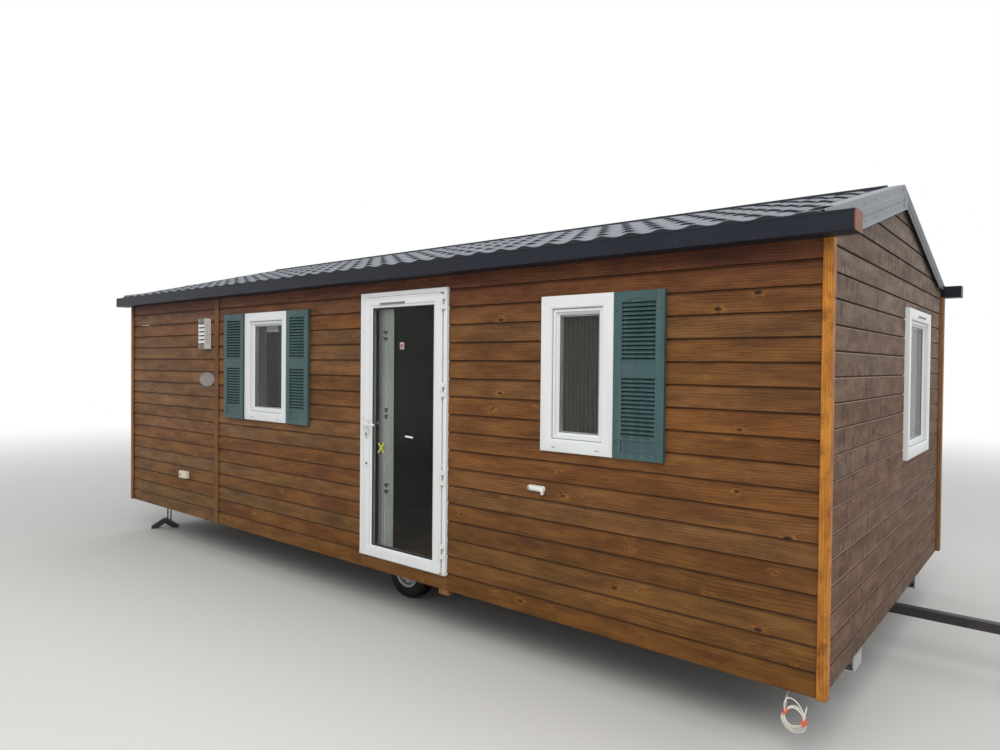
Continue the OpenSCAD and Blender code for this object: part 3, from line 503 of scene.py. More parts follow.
# the closed back behind the shutter slats, painted near black as the shade between the slats
M_SHUTTER_SHADE = coat("shutter_back_painted_shade", (20, 31, 33), 0.8, 0.1, 0.1)
M_OVAL = coat("plate_metal", (140, 132, 131), 0.46, 0.14, 0.5, (96, 92, 88), metal=0.55)
M_GALV = galv_mat("galvanised")
M_RIM = coat("rim_paint", (176, 178, 178), 0.40, 0.06, 0.4, (110, 98, 84))
M_BLACK = coat("black_paint", (40, 40, 43), 0.46, 0.12, 0.35, (104, 88, 72))
M_RUBBER = rubber_mat("tyre_rubber")
M_GLASS = glass_mat("pane_glass")
M_ENDGLASS = glass_mat("end_pane_glass", (0.86, 0.875, 0.87), 1.05)
M_CABLE = coat("cable_sheath", (222, 218, 206), 0.42, 0.03, 0.2, (150, 142, 126))
M_ORANGE = coat("orange_tape", (222, 98, 58), 0.45, 0.08, 0.12)
M_YELLOW = coat("yellow_tape", (214, 206, 56), 0.5, 0.06, 0.1)
M_TONGUE = coat("bare_tongue", (188, 160, 138), 0.75, 0.12, 0.35, (120, 92, 76))
M_STEEL = coat("hinge_steel", (196, 196, 194), 0.3, 0.05, 0.2, (120, 110, 98), metal=0.6)
M_LOCK = coat("lock_steel", (120, 118, 114), 0.35, 0.1, 0.3, (70, 66, 60), metal=0.5)
# near black: painted shade inside holes, slots and recesses (the flue's louvre box, key slots, screw recesses, the
# spout's bore, the wheel's holes), and the dark dots on the batten
M_DARK = coat("dark_hole", (24, 24, 24), 0.8, 0.1, 0.1)
M_WELD = coat("weld_bead", (128, 126, 122), 0.5, 0.14, 0.4, (96, 62, 40), metal=0.3)
M_SEAM = coat("weld_seam", (196, 197, 196), 0.5, 0.03, 0.1)
M_CREAMDARK = coat("cream_dark", (150, 142, 122), 0.5, 0.05, 0.2)
M_PAPER = coat("white_paper", (232, 230, 226), 0.6, 0.02, 0.08)
M_PINK = coat("pink_paper", (218, 180, 178), 0.6, 0.03, 0.08)
M_DARKRUBBER = coat("sipe_shadow", (16, 16, 16), 0.9, 0.1, 0.05)
M_FLUEGREY = coat("flue_grey", (112, 106, 100), 0.5, 0.10, 0.3, (70, 60, 52))
M_PUNCH = coat("punched_hole", (168, 165, 160), 0.7, 0.1, 0.1)


def cloth(name, light, dark, weave=900.0, motif=None, lace=False, shade=None):
    """Woven cloth: crossed threads, soft stains and a slight sheen; motifs are painted on at (x, z) points."""
    light, dark = srgb(light), srgb(dark)
    m, b = new_mat(name)
    co = obj_coords()
    x, y, z = parts(co)
    threads = calc("SINE", (x + y) * (weave * 2.2)) * calc("SINE", z * (weave * 2.2))
    cloud = noise(co, (4, 4, 1.2), 5.0, 0.6)
    slub = noise(co, (30, 30, 240), 3.0, 0.6)
    col = step(cloud * 0.7 + slub * 0.3 + threads * 0.05, 0.30, 0.68, dark, light)
    # painted shade: the deeper a point lies in a fold's valley (attribute dep), the darker the cloth
    col = mix(step(attr("dep"), 0.10, 0.90) * 0.50, col, scaled(dark, 0.42))
    if shade:
        x0, x1, depth = shade
        col = mix(fall((x - x0) / (x1 - x0), 0.0, 1.0) * depth, col, scaled(dark, 0.16))
    for mx, mz in motif or ():
        for up in (0.0, 0.050):
            u = calc("ABSOLUTE", x - mx) / 0.030
            v = 1.0 - (z - (mz + up)) / 0.040
            inside = calc("LESS_THAN", u, 1.0 - v)
            mask = inside * (calc("GREATER_THAN", v, 0.0) * calc("LESS_THAN", v, 1.0))
            col = mix(mask * 0.85, col, srgb((34, 36, 40)))
    if lace:
        col = mix(step(cells(co, 85.0)[0], 0.30, 0.42) * 0.45, col, scaled(dark, 0.45))
    finish_mat(b, col, cloud.mad(0.1, 0.80), threads * 0.3 + slub, 0.25, 0.0006, Sheen_Weight=0.25,
               Specular_IOR_Level=0.2)
    return m


M_DOORCLOTH = cloth("door_cloth", (228, 230, 222), (168, 172, 166), shade=(-0.085, -0.020, 0.80),
                    motif=((-0.004, 0.958), (-0.010, 1.543), (-0.024, 2.143)))
M_GREYCLOTH = cloth("grey_cloth", (84, 84, 84), (58, 58, 60))
M_DARKCLOTH = cloth("dark_cloth", (40, 40, 42), (28, 28, 30), weave=300.0)
M_BROWNCLOTH = cloth("brown_cloth", (98, 92, 84), (78, 73, 67))
M_LACE = cloth("lace_cloth", (90, 90, 87), (62, 62, 60), lace=True)
M_BLIND = cloth("blind_cloth", (196, 196, 192), (168, 168, 164))


# ---------------------------------------------------------------- mesh helpers
class Build:
    """Collects parts into one mesh, with a material, a number of its own and a depth for each point."""

    def __init__(self):
        self.v, self.f, self.m, self.r, self.d, self.smooth = [], [], [], [], [], []

    def add(self, verts, faces, mat=0, rnd=0.0, smooth=False, dep=None):
        o = len(self.v)
        self.v += [tuple(p) for p in verts]
        self.r += [rnd] * len(verts)
        self.d += [0.0] * len(verts) if dep is None else dep
        self.f += [[o + i for i in f] for f in faces]
        self.m += [mat] * len(faces)
        self.smooth += [smooth] * len(faces)

    def box(self, lo, hi, mat=0, rnd=0.0):
        v = [(x, y, z) for z in (lo[2], hi[2]) for x, y in rect(lo[0], hi[0], lo[1], hi[1])]
        self.add(v, [(0, 3, 2, 1), (4, 5, 6, 7), (0, 1, 5, 4), (1, 2, 6, 5), (2, 3, 7, 6), (3, 0, 4, 7)], mat, rnd)

    def strips(self, rows, mat=0, smooth=False, dep=None):
        """An open sheet through rows of equal length."""
        n = len(rows[0])
        self.add([p for r in rows for p in r],
                 [(j * n + i, j * n + i + 1, (j + 1) * n + i + 1, (j + 1) * n + i)
                  for j in range(len(rows) - 1) for i in range(n - 1)], mat, 0.0, smooth, dep)

    def loft(self, rings, mat=0, rnd=0.0, smooth=False, loop=False, dep=None):
        """Joins closed rings of equal length; loop: the last joins the first, else both ends are capped."""
        n, k = len(rings[0]), len(rings)
        f = []
        for i in range(k if loop else k - 1):
            a, c = i * n, ((i + 1) % k) * n
            f += [(a + j, a + (j + 1) % n, c + (j + 1) % n, c + j) for j in range(n)]
        if not loop:
            f += [tuple(range(n - 1, -1, -1)), tuple((k - 1) * n + j for j in range(n))]
        self.add([p for r in rings for p in r], f, mat, rnd, smooth, None if dep is None else dep * k)

    def plate(self, place, outline, d0, d1, mat=0, rnd=0.0):
        """A flat outline of (x, z) points, thick from depth d0 to d1."""
        self.loft([[place(x, d, z) for x, z in outline] for d in (d0, d1)], mat, rnd)

    def bar(self, place, section, x0, x1, mat=0, rnd=0.0):
        """A section of (depth, z) points along x."""
        self.loft([[place(x, d, z) for d, z in section] for x in (x0, x1)], mat, rnd)

    def boxes(self, place, rows):
        """Boxes given as x0, x1, depth 0, depth 1, z0, z1, material and number of its own."""
        for x0, x1, d0, d1, z0, z1, *rest in rows:
            self.box(place(x0, d0, z0), place(x1, d1, z1), *rest)

    def obj(self, name, mats, body="house", node=None, bevel=0.0, segs=2, angle=None, weld=False,
            recalc=True):
        """Makes the piece; angle: smooth shading with sharp edges above that many degrees."""
        me = bpy.data.meshes.new(name)
        me.from_pydata(self.v, [], self.f)
        for mm in mats:
            me.materials.append(mm)
        me.polygons.foreach_set("material_index", self.m)
        me.polygons.foreach_set("use_smooth", [s or bool(angle or bevel) for s in self.smooth])
        for key, vals in (("rnd", self.r), ("dep", self.d)):
            me.attributes.new(key, "FLOAT", "POINT").data.foreach_set("value", vals)
        me.update()
        o = link(name, me)
        bm = bmesh.new()
        bm.from_mesh(me)
        if weld:
            bmesh.ops.remove_doubles(bm, verts=bm.verts, dist=1e-5)
        if recalc:
            bmesh.ops.recalc_face_normals(bm, faces=bm.faces)
        if angle or bevel:
            lim = math.radians(angle or 40)
            for e in bm.edges:
                if len(e.link_faces) == 2:
                    e.smooth = e.calc_face_angle(0.0) < lim
        bm.to_mesh(me)
        bm.free()
        if bevel:
            mod = o.modifiers.new("bevel", "BEVEL")
            mod.width = bevel
            mod.segments = segs
            mod.limit_method = "ANGLE"
            mod.angle_limit = math.radians(35)
            mod.harden_normals = False
        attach(o, body)
        if node:
            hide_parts(*([node] if isinstance(node, str) else node))
        return o


OUT, UP = (0, -1, 0), (0, 0, 1)


def world(x, y, z):
    return (x, y, z)


def circle(n):
    return [(math.cos(TURN * i / n), math.sin(TURN * i / n)) for i in range(n)]


def rect(x0, x1, z0, z1):
    return [(x0, z0), (x1, z0), (x1, z1), (x0, z1)]


def steps(a, b, n):
    """n + 1 even steps from a to b."""
    return [a + (b - a) * i / n for i in range(n + 1)]


def seen_from(origin):
    """The place function of a thing on the door wall: x to the right, d into the wall, z up, from a corner."""
    return lambda x, d, z: (origin[0] + x, origin[1] + d, origin[2] + z)


def rect_minus(s0, s1, z0, z1, holes):
    """Splits the rectangle into rectangles that lie outside the holes."""
    cuts = sorted({s0, s1, *[min(max(h[k], s0), s1) for h in holes for k in (0, 1)]})
    out = []
    for a, b in zip(cuts, cuts[1:]):
        if b - a < 1e-6:
            continue
        spans = [(z0, z1)]
        for h in holes:
            if h[0] < (a + b) / 2 < h[1]:
                spans = [(u, w) for p, q in spans for u, w in ((p, min(q, h[2])), (max(p, h[3]), q)) if w > u]
        out += [(a, b, u, w) for u, w in spans if w - u > 1e-5]
    merged = []
    for r in out:
        if merged and abs(merged[-1][1] - r[0]) < 1e-6 and merged[-1][2:] == r[2:]:
            r = (merged.pop()[0], *r[1:])
        merged.append(r)
    return merged


def clip_profile(prof, za, zb):
    """Cuts an open profile of (z, o) points, z rising, to a height range."""
    out = []
    for (z, o), (z2, o2) in zip(prof, prof[1:]):
        if z2 < za - 1e-9 or z > zb + 1e-9:
            continue
        for zz in (max(z, za), min(z2, zb)):
            p = (zz, o + (o2 - o) * ((zz - z) / (z2 - z) if z2 - z > 1e-9 else 0))
            if not out or abs(out[-1][0] - p[0]) + abs(out[-1][1] - p[1]) > 1e-7:
                out.append(p)
    return out


def boards(bd, place, sections, z0, z1, pitch, profs, holes, seed, step_len=0.45):
    """Rows of boards. profs: (profile, material, depth of a point) for each strip; place(s, o, z), o outwards."""
    rng = random.Random(seed)
    for k in range(int(math.ceil((z1 - z0) / pitch - 1e-6))):
        zb = z0 + k * pitch
        for s0, s1 in sections:
            rnd = rng.random()
            for a, b, u, w in rect_minus(s0, s1, max(zb, SKIRT), min(zb + pitch, z1), holes):
                for prof, mat, depth in profs:
                    p = clip_profile([(zb + z, o) for z, o in prof], u, w)
                    if len(p) < 2:
                        continue
                    p = [(p[0][0], 0.0)] + p + [(p[-1][0], 0.0)]
                    rings = [[place(s, o, z) for z, o in p] for s in steps(a, b, max(1, int((b - a) / step_len)))]
                    bd.loft(rings, mat, rnd, dep=[depth(o) for z, o in p])


def cyl(bd, c, axis, r, h, mat=0, n=32, r2=None, smooth=True, rnd=0.0):
    """A cylinder or cone from point c along axis."""
    ax, u, w = axes(axis)
    bd.loft([[tuple(Vector(c) + ax * q + (u * cos + w * sin) * rr) for cos, sin in circle(n)]
             for q, rr in ((0, r), (h, r if r2 is None else r2))], mat, rnd, smooth)


def lathe(bd, c, axis, prof, mat=0, n=64):
    """Turns a closed loop of (radius, along) about an axis through c."""
    ax, u, w = axes(axis)
    bd.loft([[tuple(Vector(c) + ax * q + (u * cos + w * sin) * r) for r, q in prof] for cos, sin in circle(n)],
            mat, 0.0, True, True)


def axes(axis):
    ax = Vector(axis).normalized()
    u = ax.cross(Vector((1, 0, 0)) if abs(ax.x) < 0.9 else Vector((0, 1, 0))).normalized()
    return ax, u, ax.cross(u)


# ---------------------------------------------------------------- floor, lights, world
def stage():
    s = 60.0
    me = bpy.data.meshes.new("studio_floor")
    me.from_pydata([(x, y, 0) for x, y in rect(-s, s, -s, s)], [], [(0, 1, 2, 3)])
    o = link("studio_floor", me)
    o.location.z = -0.0005

    def seen_directly():
        """1 for camera rays, and for what mirrors and panes show."""
        rays = nd("LightPath", out=None).outputs
        camera, glossy, through = (Sock(rays["Is %s Ray" % k]) for k in ("Camera", "Glossy", "Transmission"))
        return calc("MAXIMUM", calc("MAXIMUM", camera, glossy), through)

    # the floor fades to white far from the house
    m = bpy.data.materials.new("studio_floor")
    m.use_nodes = True
    surface = new_tree(m.node_tree, "OutputMaterial")
    dist = nd("VectorMath", {0: obj_coords()}, "Value", operation="LENGTH")
    far = step(dist / 40.0, 0.13, 0.50, interp="EASE")
    put(surface, nd("MixShader", {0: far * seen_directly(), 1: nd("BsdfDiffuse", {"Color": (0.60, 0.59, 0.57)}),
                                  2: nd("Emission", {"Color": (1, 1, 1), "Strength": 1.0})}))
    me.materials.append(m)

    w = bpy.context.scene.world or bpy.data.worlds.new("world")
    bpy.context.scene.world = w
    w.use_nodes = True
    surface = new_tree(w.node_tree, "OutputWorld")
    put(surface, nd("MixShader", {0: seen_directly(),
                                  1: nd("Background", {"Color": (0.93, 0.965, 1.0), "Strength": 0.62}),
                                  2: nd("Background", {"Color": (1, 1, 1), "Strength": 1.0})}))

    for name, loc, target, size, energy, color in (
            ("key", (4.0, -9.0, 9.0), (-0.5, -1.0, 1.4), (9, 6), 820, (1.0, 0.985, 0.96)),
            ("side", (12.0, 3.0, 8.0), (2.5, 0.0, 1.4), (7, 6), 330, (1, 1, 1)),
            ("top", (-0.6, 0.0, 11.0), (-0.6, 0.0, 2.8), (12, 7), 400, (1, 1, 1))):
        lamp = bpy.data.lights.new(name, "AREA")
        lamp.shape = "RECTANGLE"
        lamp.size, lamp.size_y = size
        lamp.energy = energy
        lamp.color = color
        ob = link(name, lamp)
        ob.location = loc
        ob.rotation_euler = (Vector(target) - Vector(loc)).to_track_quat("-Z", "Y").to_euler()
        ob.visible_camera = False
        ob.visible_glossy = False


stage()

# ---------------------------------------------------------------- walls
FRONT_PROF = [(0.0, 0.0070), (0.0, 0.0152), (0.0012, 0.0174), (0.0036, 0.018), (0.060, 0.0166), (0.100, 0.0156),
              (0.1075, 0.0144), (0.1120, 0.0118), (0.1150, 0.0096), (0.1210, 0.0080), (0.126, 0.0070)]
SILL_PROF = [(0.0, 0.004), (0.0, 0.016), (0.002, 0.018), (0.096, 0.018), (0.100, 0.016), (0.104, 0.012)]
COVER, SILL_COVER = 0.126, 0.104


def hole_of(node, axis):
    lo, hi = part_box(node)
    return (lo[axis], hi[axis], lo[2], hi[2])


def slab(bd, place, s0, s1, z0, z1, holes, depth):
    """The lining behind the boards, as deep as the wall."""
    for a, b, u, w in rect_minus(s0, s1, z0, z1, holes):
        bd.loft([[place(s, o, z) for z, o in ((u, 0.0), (w, 0.0), (w, -depth), (u, -depth))] for s in (a, b)], 1)


def long_walls():
    (dx0, _, dz0), (dx1, _, dz1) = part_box("door_frame")
    wins = [hole_of("left_window", 0), hole_of("right_window", 0)]
    top = roof_under(YF) - 0.002
    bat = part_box("cover_batten")[0][0] + 0.035
    whole, over, door = [(CL, -2.45), (-2.45, 1.1), (1.1, CR)], (dx0 - 1, dx1 + 1, SKIRT, dz1), (dx0, dx1, dz0, dz1)
    # each wall: sections between joints, foot of the lining, top, holes in the boards and in the lining, seed
    for name, secs, zb, z1, holes, lining_holes, seed in (
            ("front_wall_left", [(CL, bat), (bat, dx0)], SKIRT, top, wins, wins, 11),
            ("front_wall_right", [(dx1, CR)], SKIRT, top, wins, wins, 12),
            ("front_wall_over_door", [(dx0, dx1)], dz1, top, [over], wins + [door], 13),
            ("front_wall_under_door", [(dx0, dx1)], SKIRT, dz0, [], wins, 14),
            ("back_wall", whole, SKIRT, top, wins, wins, 15)):
        out = 1 if name == "back_wall" else -1
        pitch, prof = (SILL_COVER, SILL_PROF) if "under" in name else (COVER, FRONT_PROF)
        peak = max(o for z, o in prof)

        def place(s, o, z, out=out):
            return (s, out * (YB - BOARD_T + o), z)

        bd = Build()
        # each point's depth behind the board's face, which the wood paints darker as shade in the scoop under each lip
        boards(bd, place, secs, SKIRT, z1, pitch, [(prof, 0, lambda o: 1.0 - o / peak)], holes, seed)
        slab(bd, place, secs[0][0], secs[-1][1], zb, z1, lining_holes, WALL_T - BOARD_T)
        bd.obj(name + "_boards", [M_FRONT, M_LINING], node=name)


def end_walls():
    holes = [hole_of("end_window", 1)]
    rails = [(y0 - 0.001, y1 + 0.001, SKIRT - 1, z1 + 0.0005)
             for (_, y0, _), (_, y1, z1) in map(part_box, ("front_rail", "back_rail"))]
    y0, y1, top = YF + WALL_T, YB - WALL_T, roof_under(0)
    pitch, out = 0.1316, 0.015
    # the face of a board, its bare tongue and the groove over it; the face's edges by the groove and the groove itself
    # get depth 0.7, which the wood paints darker as shade
    strips = [([(0.0, 0.004), (0.0, 0.0120), (0.0015, 0.0144), (0.003, out), (0.1150, out), (0.1172, 0.0143),
                (0.1190, 0.0125)], 0, lambda o: 0.0 if o > 0.0135 else 0.7),
              ([(0.1190, 0.0075), (0.1232, 0.0068)], 2, lambda o: 0.0),
              ([(0.1232, 0.0050), (pitch, 0.0040)], 0, lambda o: 0.7)]
    start = SKIRT + 1.698 - 13 * pitch
    for side, name in ((1, "right_end_wall"), (-1, "left_end_wall")):
        base = (CR if side > 0 else CL) - side * out

        def place(s, o, z, base=base, side=side):
            return (base + side * o, s, z)

        bd = Build()
        rows = int((top - start) / pitch) + 1
        boards(bd, place, [(y0, y1)], start, start + rows * pitch, pitch, strips, holes, 20 + side, 0.5)
        slab(bd, place, y0, y1, SKIRT, top, holes + rails, WALL_T - out)
        o = bd.obj(name + "_boards", [M_GABLE, M_LINING, M_TONGUE], node=name)
        # trimmed along the two slopes of the roof
        bm = bmesh.new()
        bm.from_mesh(o.data)
        for s in (-1, 1):
            bmesh.ops.bisect_plane(bm, geom=bm.verts[:] + bm.edges[:] + bm.faces[:], plane_co=(0, 0, top - 0.001),
                                   plane_no=Vector((0, s * TAN, 1)).normalized(), clear_outer=True)
        bm.to_mesh(o.data)
        bm.free()


long_walls()
end_walls()

# ---------------------------------------------------------------- cable finish and its ties
CABLE.data.materials.append(M_CABLE)


def tie(name, phi, ks):
    """A band of tape round the strands that lie side by side at one angle of the coil."""
    ends = []
    for k in ks:
        u, w, v = coil_point(phi + 360.0 * k)
        ends.append((math.hypot(u, v), w))
    (ra, wa), (rb, wb) = ends
    a = math.radians(phi)
    base = math.atan2(wb - wa, rb - ra)
    bd = Build()

    def outline(r, off, wave=0.0):
        loop = []
        for cr, cw, start in ((ra, wa, base + math.pi / 2), (rb, wb, base - math.pi / 2)):
            for t in steps(start, start + math.pi, 14):
                rr = r + wave * math.sin(3 * t)
                pr, pw = cr + rr * math.cos(t), cw + rr * math.sin(t)
                p = (pr * math.cos(a) - off * math.sin(a), pw, pr * math.sin(a) + off * math.cos(a))
                loop.append([c + q / 1000 for c, q in zip(COIL_AT, p)])
        return loop

    # three overlapping laps: offset along the strands, width and half thickness, in mm
    for off, ln, r in ((-17.0, 12.5, 5.6), (-6.5, 13.0, 7.2), (4.5, 12.0, 6.0)):
        bd.loft([outline(3.15, off), outline(r - 0.5, off + 0.2, 0.1), outline(r, off + 1.4, 0.25),
                 outline(r, off + ln - 1.4, 0.25), outline(r - 0.5, off + ln - 0.2, 0.1), outline(3.15, off + ln)],
                loop=True)
    return bd.obj(name, [M_ORANGE], angle=50)


TIES = [tie("left_tie", 144.0, (0, 4)), tie("right_tie", 0.0, (1, 5))]
tuple(CABLE_LINE[0])


# ---------------------------------------------------------------- roof
COURSES = 6
TILE_OVER = 0.108
COURSE_W = (YB + TILE_OVER) / COURSES
STEP_H = 0.015
WAVE, WAVE_H = 0.187, 0.016


def roof(side, node):
    """Pressed tile sheets: six wavy courses with stepped fronts, over a flat deck."""
    bd = Build()
    xs = steps(CL, CR, int(round((CR - CL) / WAVE * 12)))
    waves = [(0.5 + 0.5 * math.cos(TURN * (x - 1.997) / WAVE)) ** 1.4 for x in xs]
    rows = []
    for c in range(COURSES):
        # y, lift, how far the waves bulge forward and how high they stand
        yf = YB + TILE_OVER - c * COURSE_W
        yb = max(yf - COURSE_W, 0.0)
        rows += [(yf, -0.001 if c else -0.006, 0.011, 0.92), (yf, STEP_H - 0.003, 0.011, 1),
                 (yf - 0.004, STEP_H, 0.011, 1)]
        rows += [(yf + (yb - yf) * t, STEP_H * (1 - t), 0.0, 1) for t in (0.12, 0.45, 0.80, 1.0)]
    grid = []
    for y, lift, bulge, part in rows:
        line = []
        for x, w in zip(xs, waves):
            yy = y + bulge * w
            # the sheets lie pressed flat under the flange of the verge flashing
            top = 0.0142 + 0.5 * max(min(x - CL, CR - x) - 0.088, 0.0)
            line.append((x, side * yy, min(tile_z(yy) + lift + WAVE_H * w * part - 0.005, tile_z(yy) + top)))
        grid.append(line)
    bd.strips(grid, 0, True)
    # the rows of faces at the foot of each course are painted dark as the shade on the step fronts
    m = len(xs) - 1
    for r in range(0, len(grid), len(grid) // COURSES):
        bd.m[r * m:(r + 1) * m] = [2] * m
    # the thin front and end edges of the sheets, painted dark as shade
    for edge, thick in ((grid[0], 0.004), ([r[0] for r in grid], 0.010), ([r[-1] for r in grid], 0.010)):
        bd.strips([edge, [(x, y, z - thick) for x, y, z in edge]], 2)
    # the last wave runs up to the flashing and shows its open end over the gutter, painted dark as the shade inside it
    yf = YB + TILE_OVER - 0.004
    for xa, xb in ((CR - 0.150, CR - 0.001), (CL + 0.150, CL + 0.001)):
        rise = [(xa + (xb - xa) * t, 0.030 * (0.5 - 0.5 * math.cos(math.pi * t))) for t in steps(0, 1, 8)]
        front, back, foot = ([(x, side * y, tile_z(y) + up + r * k) for x, r in rise]
                             for y, up, k in ((yf, 0.002, 1), (yf - 0.26, 0.004, 0.4), (yf, -0.006, 0)))
        bd.strips([front, back], 0, True)
        bd.strips([foot, front], 2)
    # the deck under the tiles, with its eaves board
    edge = YB + TILE_OVER
    bd.bar(world, [(side * YB, tile_z(YB) - 0.016), (0.0, tile_z(0) - 0.016), (0.0, roof_under(0)),
                   (side * YB, roof_under(YB))], CL + 0.001, CR - 0.001, 1)
    bd.bar(world, [(side * y, tile_z(y) - u) for y, u in ((YB, 0.012), (edge, 0.012), (edge, 0.017), (YB, 0.017))],
           CL + 0.002, CR - 0.002, 1)
    bd.obj(node + "_tiles", [M_TILE, M_LINING, M_TILE_SHADE], node=node, angle=42, weld=True)


def ridge():
    """Lengths of ridge sheet with a rolled top, each lapping over the one before."""
    (x, _, _), (end, wing, _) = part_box("ridge_cap")
    roll, base = 0.0292, tile_z(0)
    wz = tile_z(wing) + STEP_H * wing / COURSE_W + 0.0035
    bd = Build()

    def section(grow):
        half = [(wing - 0.002, wz - 0.004), (wing, wz - 0.0035 + grow), (wing - 0.012, wz + 0.001 + grow),
                (roll + 0.010, tile_z(roll + 0.010) + 0.009 + grow), (roll, tile_z(roll) + 0.0105 + grow)]
        top = [(-roll * math.cos(a) * (1 + grow * 12), base + 0.0005 + (roll + grow) * math.sin(a))
               for a in map(math.radians, range(24, 157, 12))]
        return [(-y, z) for y, z in half] + top + half[::-1] + [(0.0, base - 0.006)]

    while x < end - 0.02:
        x2 = min(x + 1.88, end)
        bd.loft([[(xx, y, z) for y, z in section(grow)]
                 for xx, grow in ((x, 0.0010), (x + 0.055, 0.0010), (x + 0.0575, 0.0), (x2, 0.0))])
        for y in (-0.105, 0.105):
            for xx in (x + 0.028, x + 0.5, x + 0.96, x + 1.42):
                if xx < end - 0.03:
                    cyl(bd, (xx, y, tile_z(y) + 0.012), (0, math.copysign(TAN, y), 1), 0.0065, 0.0035, 1, 10)
        x = x2
    bd.obj("ridge_cap_sheet", [M_ANTH, M_FLASH], node="ridge_cap", angle=38)


def gutter(side, node):
    (x0, y0, zb), (x1, y1, _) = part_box(node)
    reach = y1 - y0
    bd = Build()

    def place(x, o, z):
        return (x, side * (YB + o), zb + z)

    # the trough, with a sleeve over each of its two joints
    rings = []
    for x, sleeve in [(x0 + 0.004, 0.0)] + [(x0 + j + dx, s) for j in (2.62, 5.24) for dx, s in (
            (-0.045, 0.0), (-0.044, 0.0006), (0.044, 0.0006), (0.045, 0.0))] + [(x1 - 0.004, 0.0)]:
        r = reach - 0.0007 + sleeve
        rings.append([place(x, o, z) for o, z in (
            (0.0, 0.0985), (0.0, 0.003), (0.003, 0.0), (r - 0.006, 0.0), (r - 0.002, 0.0015), (r, 0.005), (r, 0.0115),
            (r - 0.0018, 0.0135), (r - 0.0018, 0.0865), (r, 0.0885), (r, 0.0975), (r - 0.0015, 0.0995),
            (r - 0.008, 0.0995), (r - 0.0085, 0.0975), (r - 0.0055, 0.0960), (r - 0.0055, 0.0045), (0.0045, 0.0045),
            (0.0040, 0.0985))])
    bd.loft(rings)
    # closed ends
    cap = [(0.0, 0.0), (reach - 0.004, 0.0), (reach - 0.0007, 0.004), (reach - 0.0007, 0.094), (reach - 0.004, 0.0995),
           (0.0, 0.0995)]
    bd.bar(place, cap, x0, x0 + 0.006)
    bd.bar(place, cap, x1, x1 - 0.006, 1 if side < 0 else 0)
    # straps across the top, hooked over both edges
    for x in steps(x0 + 0.30, x1 - 0.30, 12):
        bd.bar(place, rect(0.002, reach - 0.004, 0.0975, 0.0992), x - 0.012, x + 0.012, 2)
    bd.obj(node + "_trough", [M_ANTH, M_COPPER, M_FLASH], node=node, angle=25)


def flashings():
    """The folded sheets down the four gable edges: flange, two bands with a groove between them, and a hem."""
    path = [(-90, 18.4), (10.5, 18.4), (13.2, 17.4), (14, 15), (14, -33), (14.8, -37.6), (20.2, -43.4), (21, -47),
            (21, -84), (17.8, -86.5), (17.8, -90.5), (21, -93), (21, -134), (21.8, -138), (29.6, -148.6),
            (30.6, -149.8)]
    prof = path + [(o - 3, u - 3) for o, u in path[::-1]]
    over_gutter = (YB + TILE_OVER - 0.0005, YB + 0.0005)
    on_wall = (YB - 0.0005, YB - 0.110, YB - 0.215, YB - 0.290, YB * 0.66, YB * 0.33, 0.0004)
    bd = Build()
    for end, base in ((1, CR), (-1, CL)):
        for side in (-1, 1):
            for ys, least in ((over_gutter, 0.1006), (on_wall, 0.058)):
                bd.loft([[(base + end * o / 1000, side * y, max(tile_z(y) + u / 1000, GUTTER_Z + least))
                          for o, u in prof] for y in ys], 1 if side > 0 else 0)
            # fixing heads along the upper and lower band
            for y in steps(0.10, YB - 0.12, 6):
                for o, u in ((0.014, 0.014), (0.021, 0.116)):
                    cyl(bd, (base + end * (o - 0.001), side * y, tile_z(y) - u), (end, 0, 0), 0.0046, 0.0026, 1, 12)
        # the cover plates over the joint at the peak
        for top, foot, o0, o1 in ((-0.060, -0.150, 0.0208, 0.0232), (-0.004, -0.052, 0.0138, 0.0156)):
            cover = [(-0.055, top), (0, top + 0.014), (0.055, top), (0.055, foot), (0, foot + 0.014), (-0.055, foot)]
            bd.bar(world, [(y, tile_z(0) + u) for y, u in cover], base + end * o0, base + end * o1)
    bd.obj("verge_flashing_sheets", [M_FLASH, M_FLASHDARK], node="verge_flashings", angle=24)


roof(-1, "roof_front")
roof(1, "roof_back")
ridge()
gutter(-1, "gutter_front")
gutter(1, "gutter_back")
flashings()


# ---------------------------------------------------------------- posts and battens
def posts():
    bd = Build()
    zs = steps(SKIRT + 0.0005, GUTTER_Z - 0.0005, 6)
    for end, wall, edge in ((-1, CL, XL), (1, CR, XR)):
        for side in (-1, 1):
            rnd = 0.2 + 0.17 * end + 0.31 * side
            # a board on the long wall and one on the end wall
            for x0, x1, y0, y1, own in (
                    (edge - end * 0.047, edge, YB + BOARD_T, YB + 0.0004, rnd),
                    (wall + end * 0.0004, edge - end * 0.0008, YB, YB - 0.047, rnd + 0.37)):
                bd.loft([[(x, y, z) for x, y in rect(x0, x1, side * y0, side * y1)] for z in zs],
                        0 if end > 0 > side else 1, own)
    bd.obj("corner_post_boards", [M_HONEY, M_HONEY2], node="corner_posts", bevel=0.0035, segs=3)


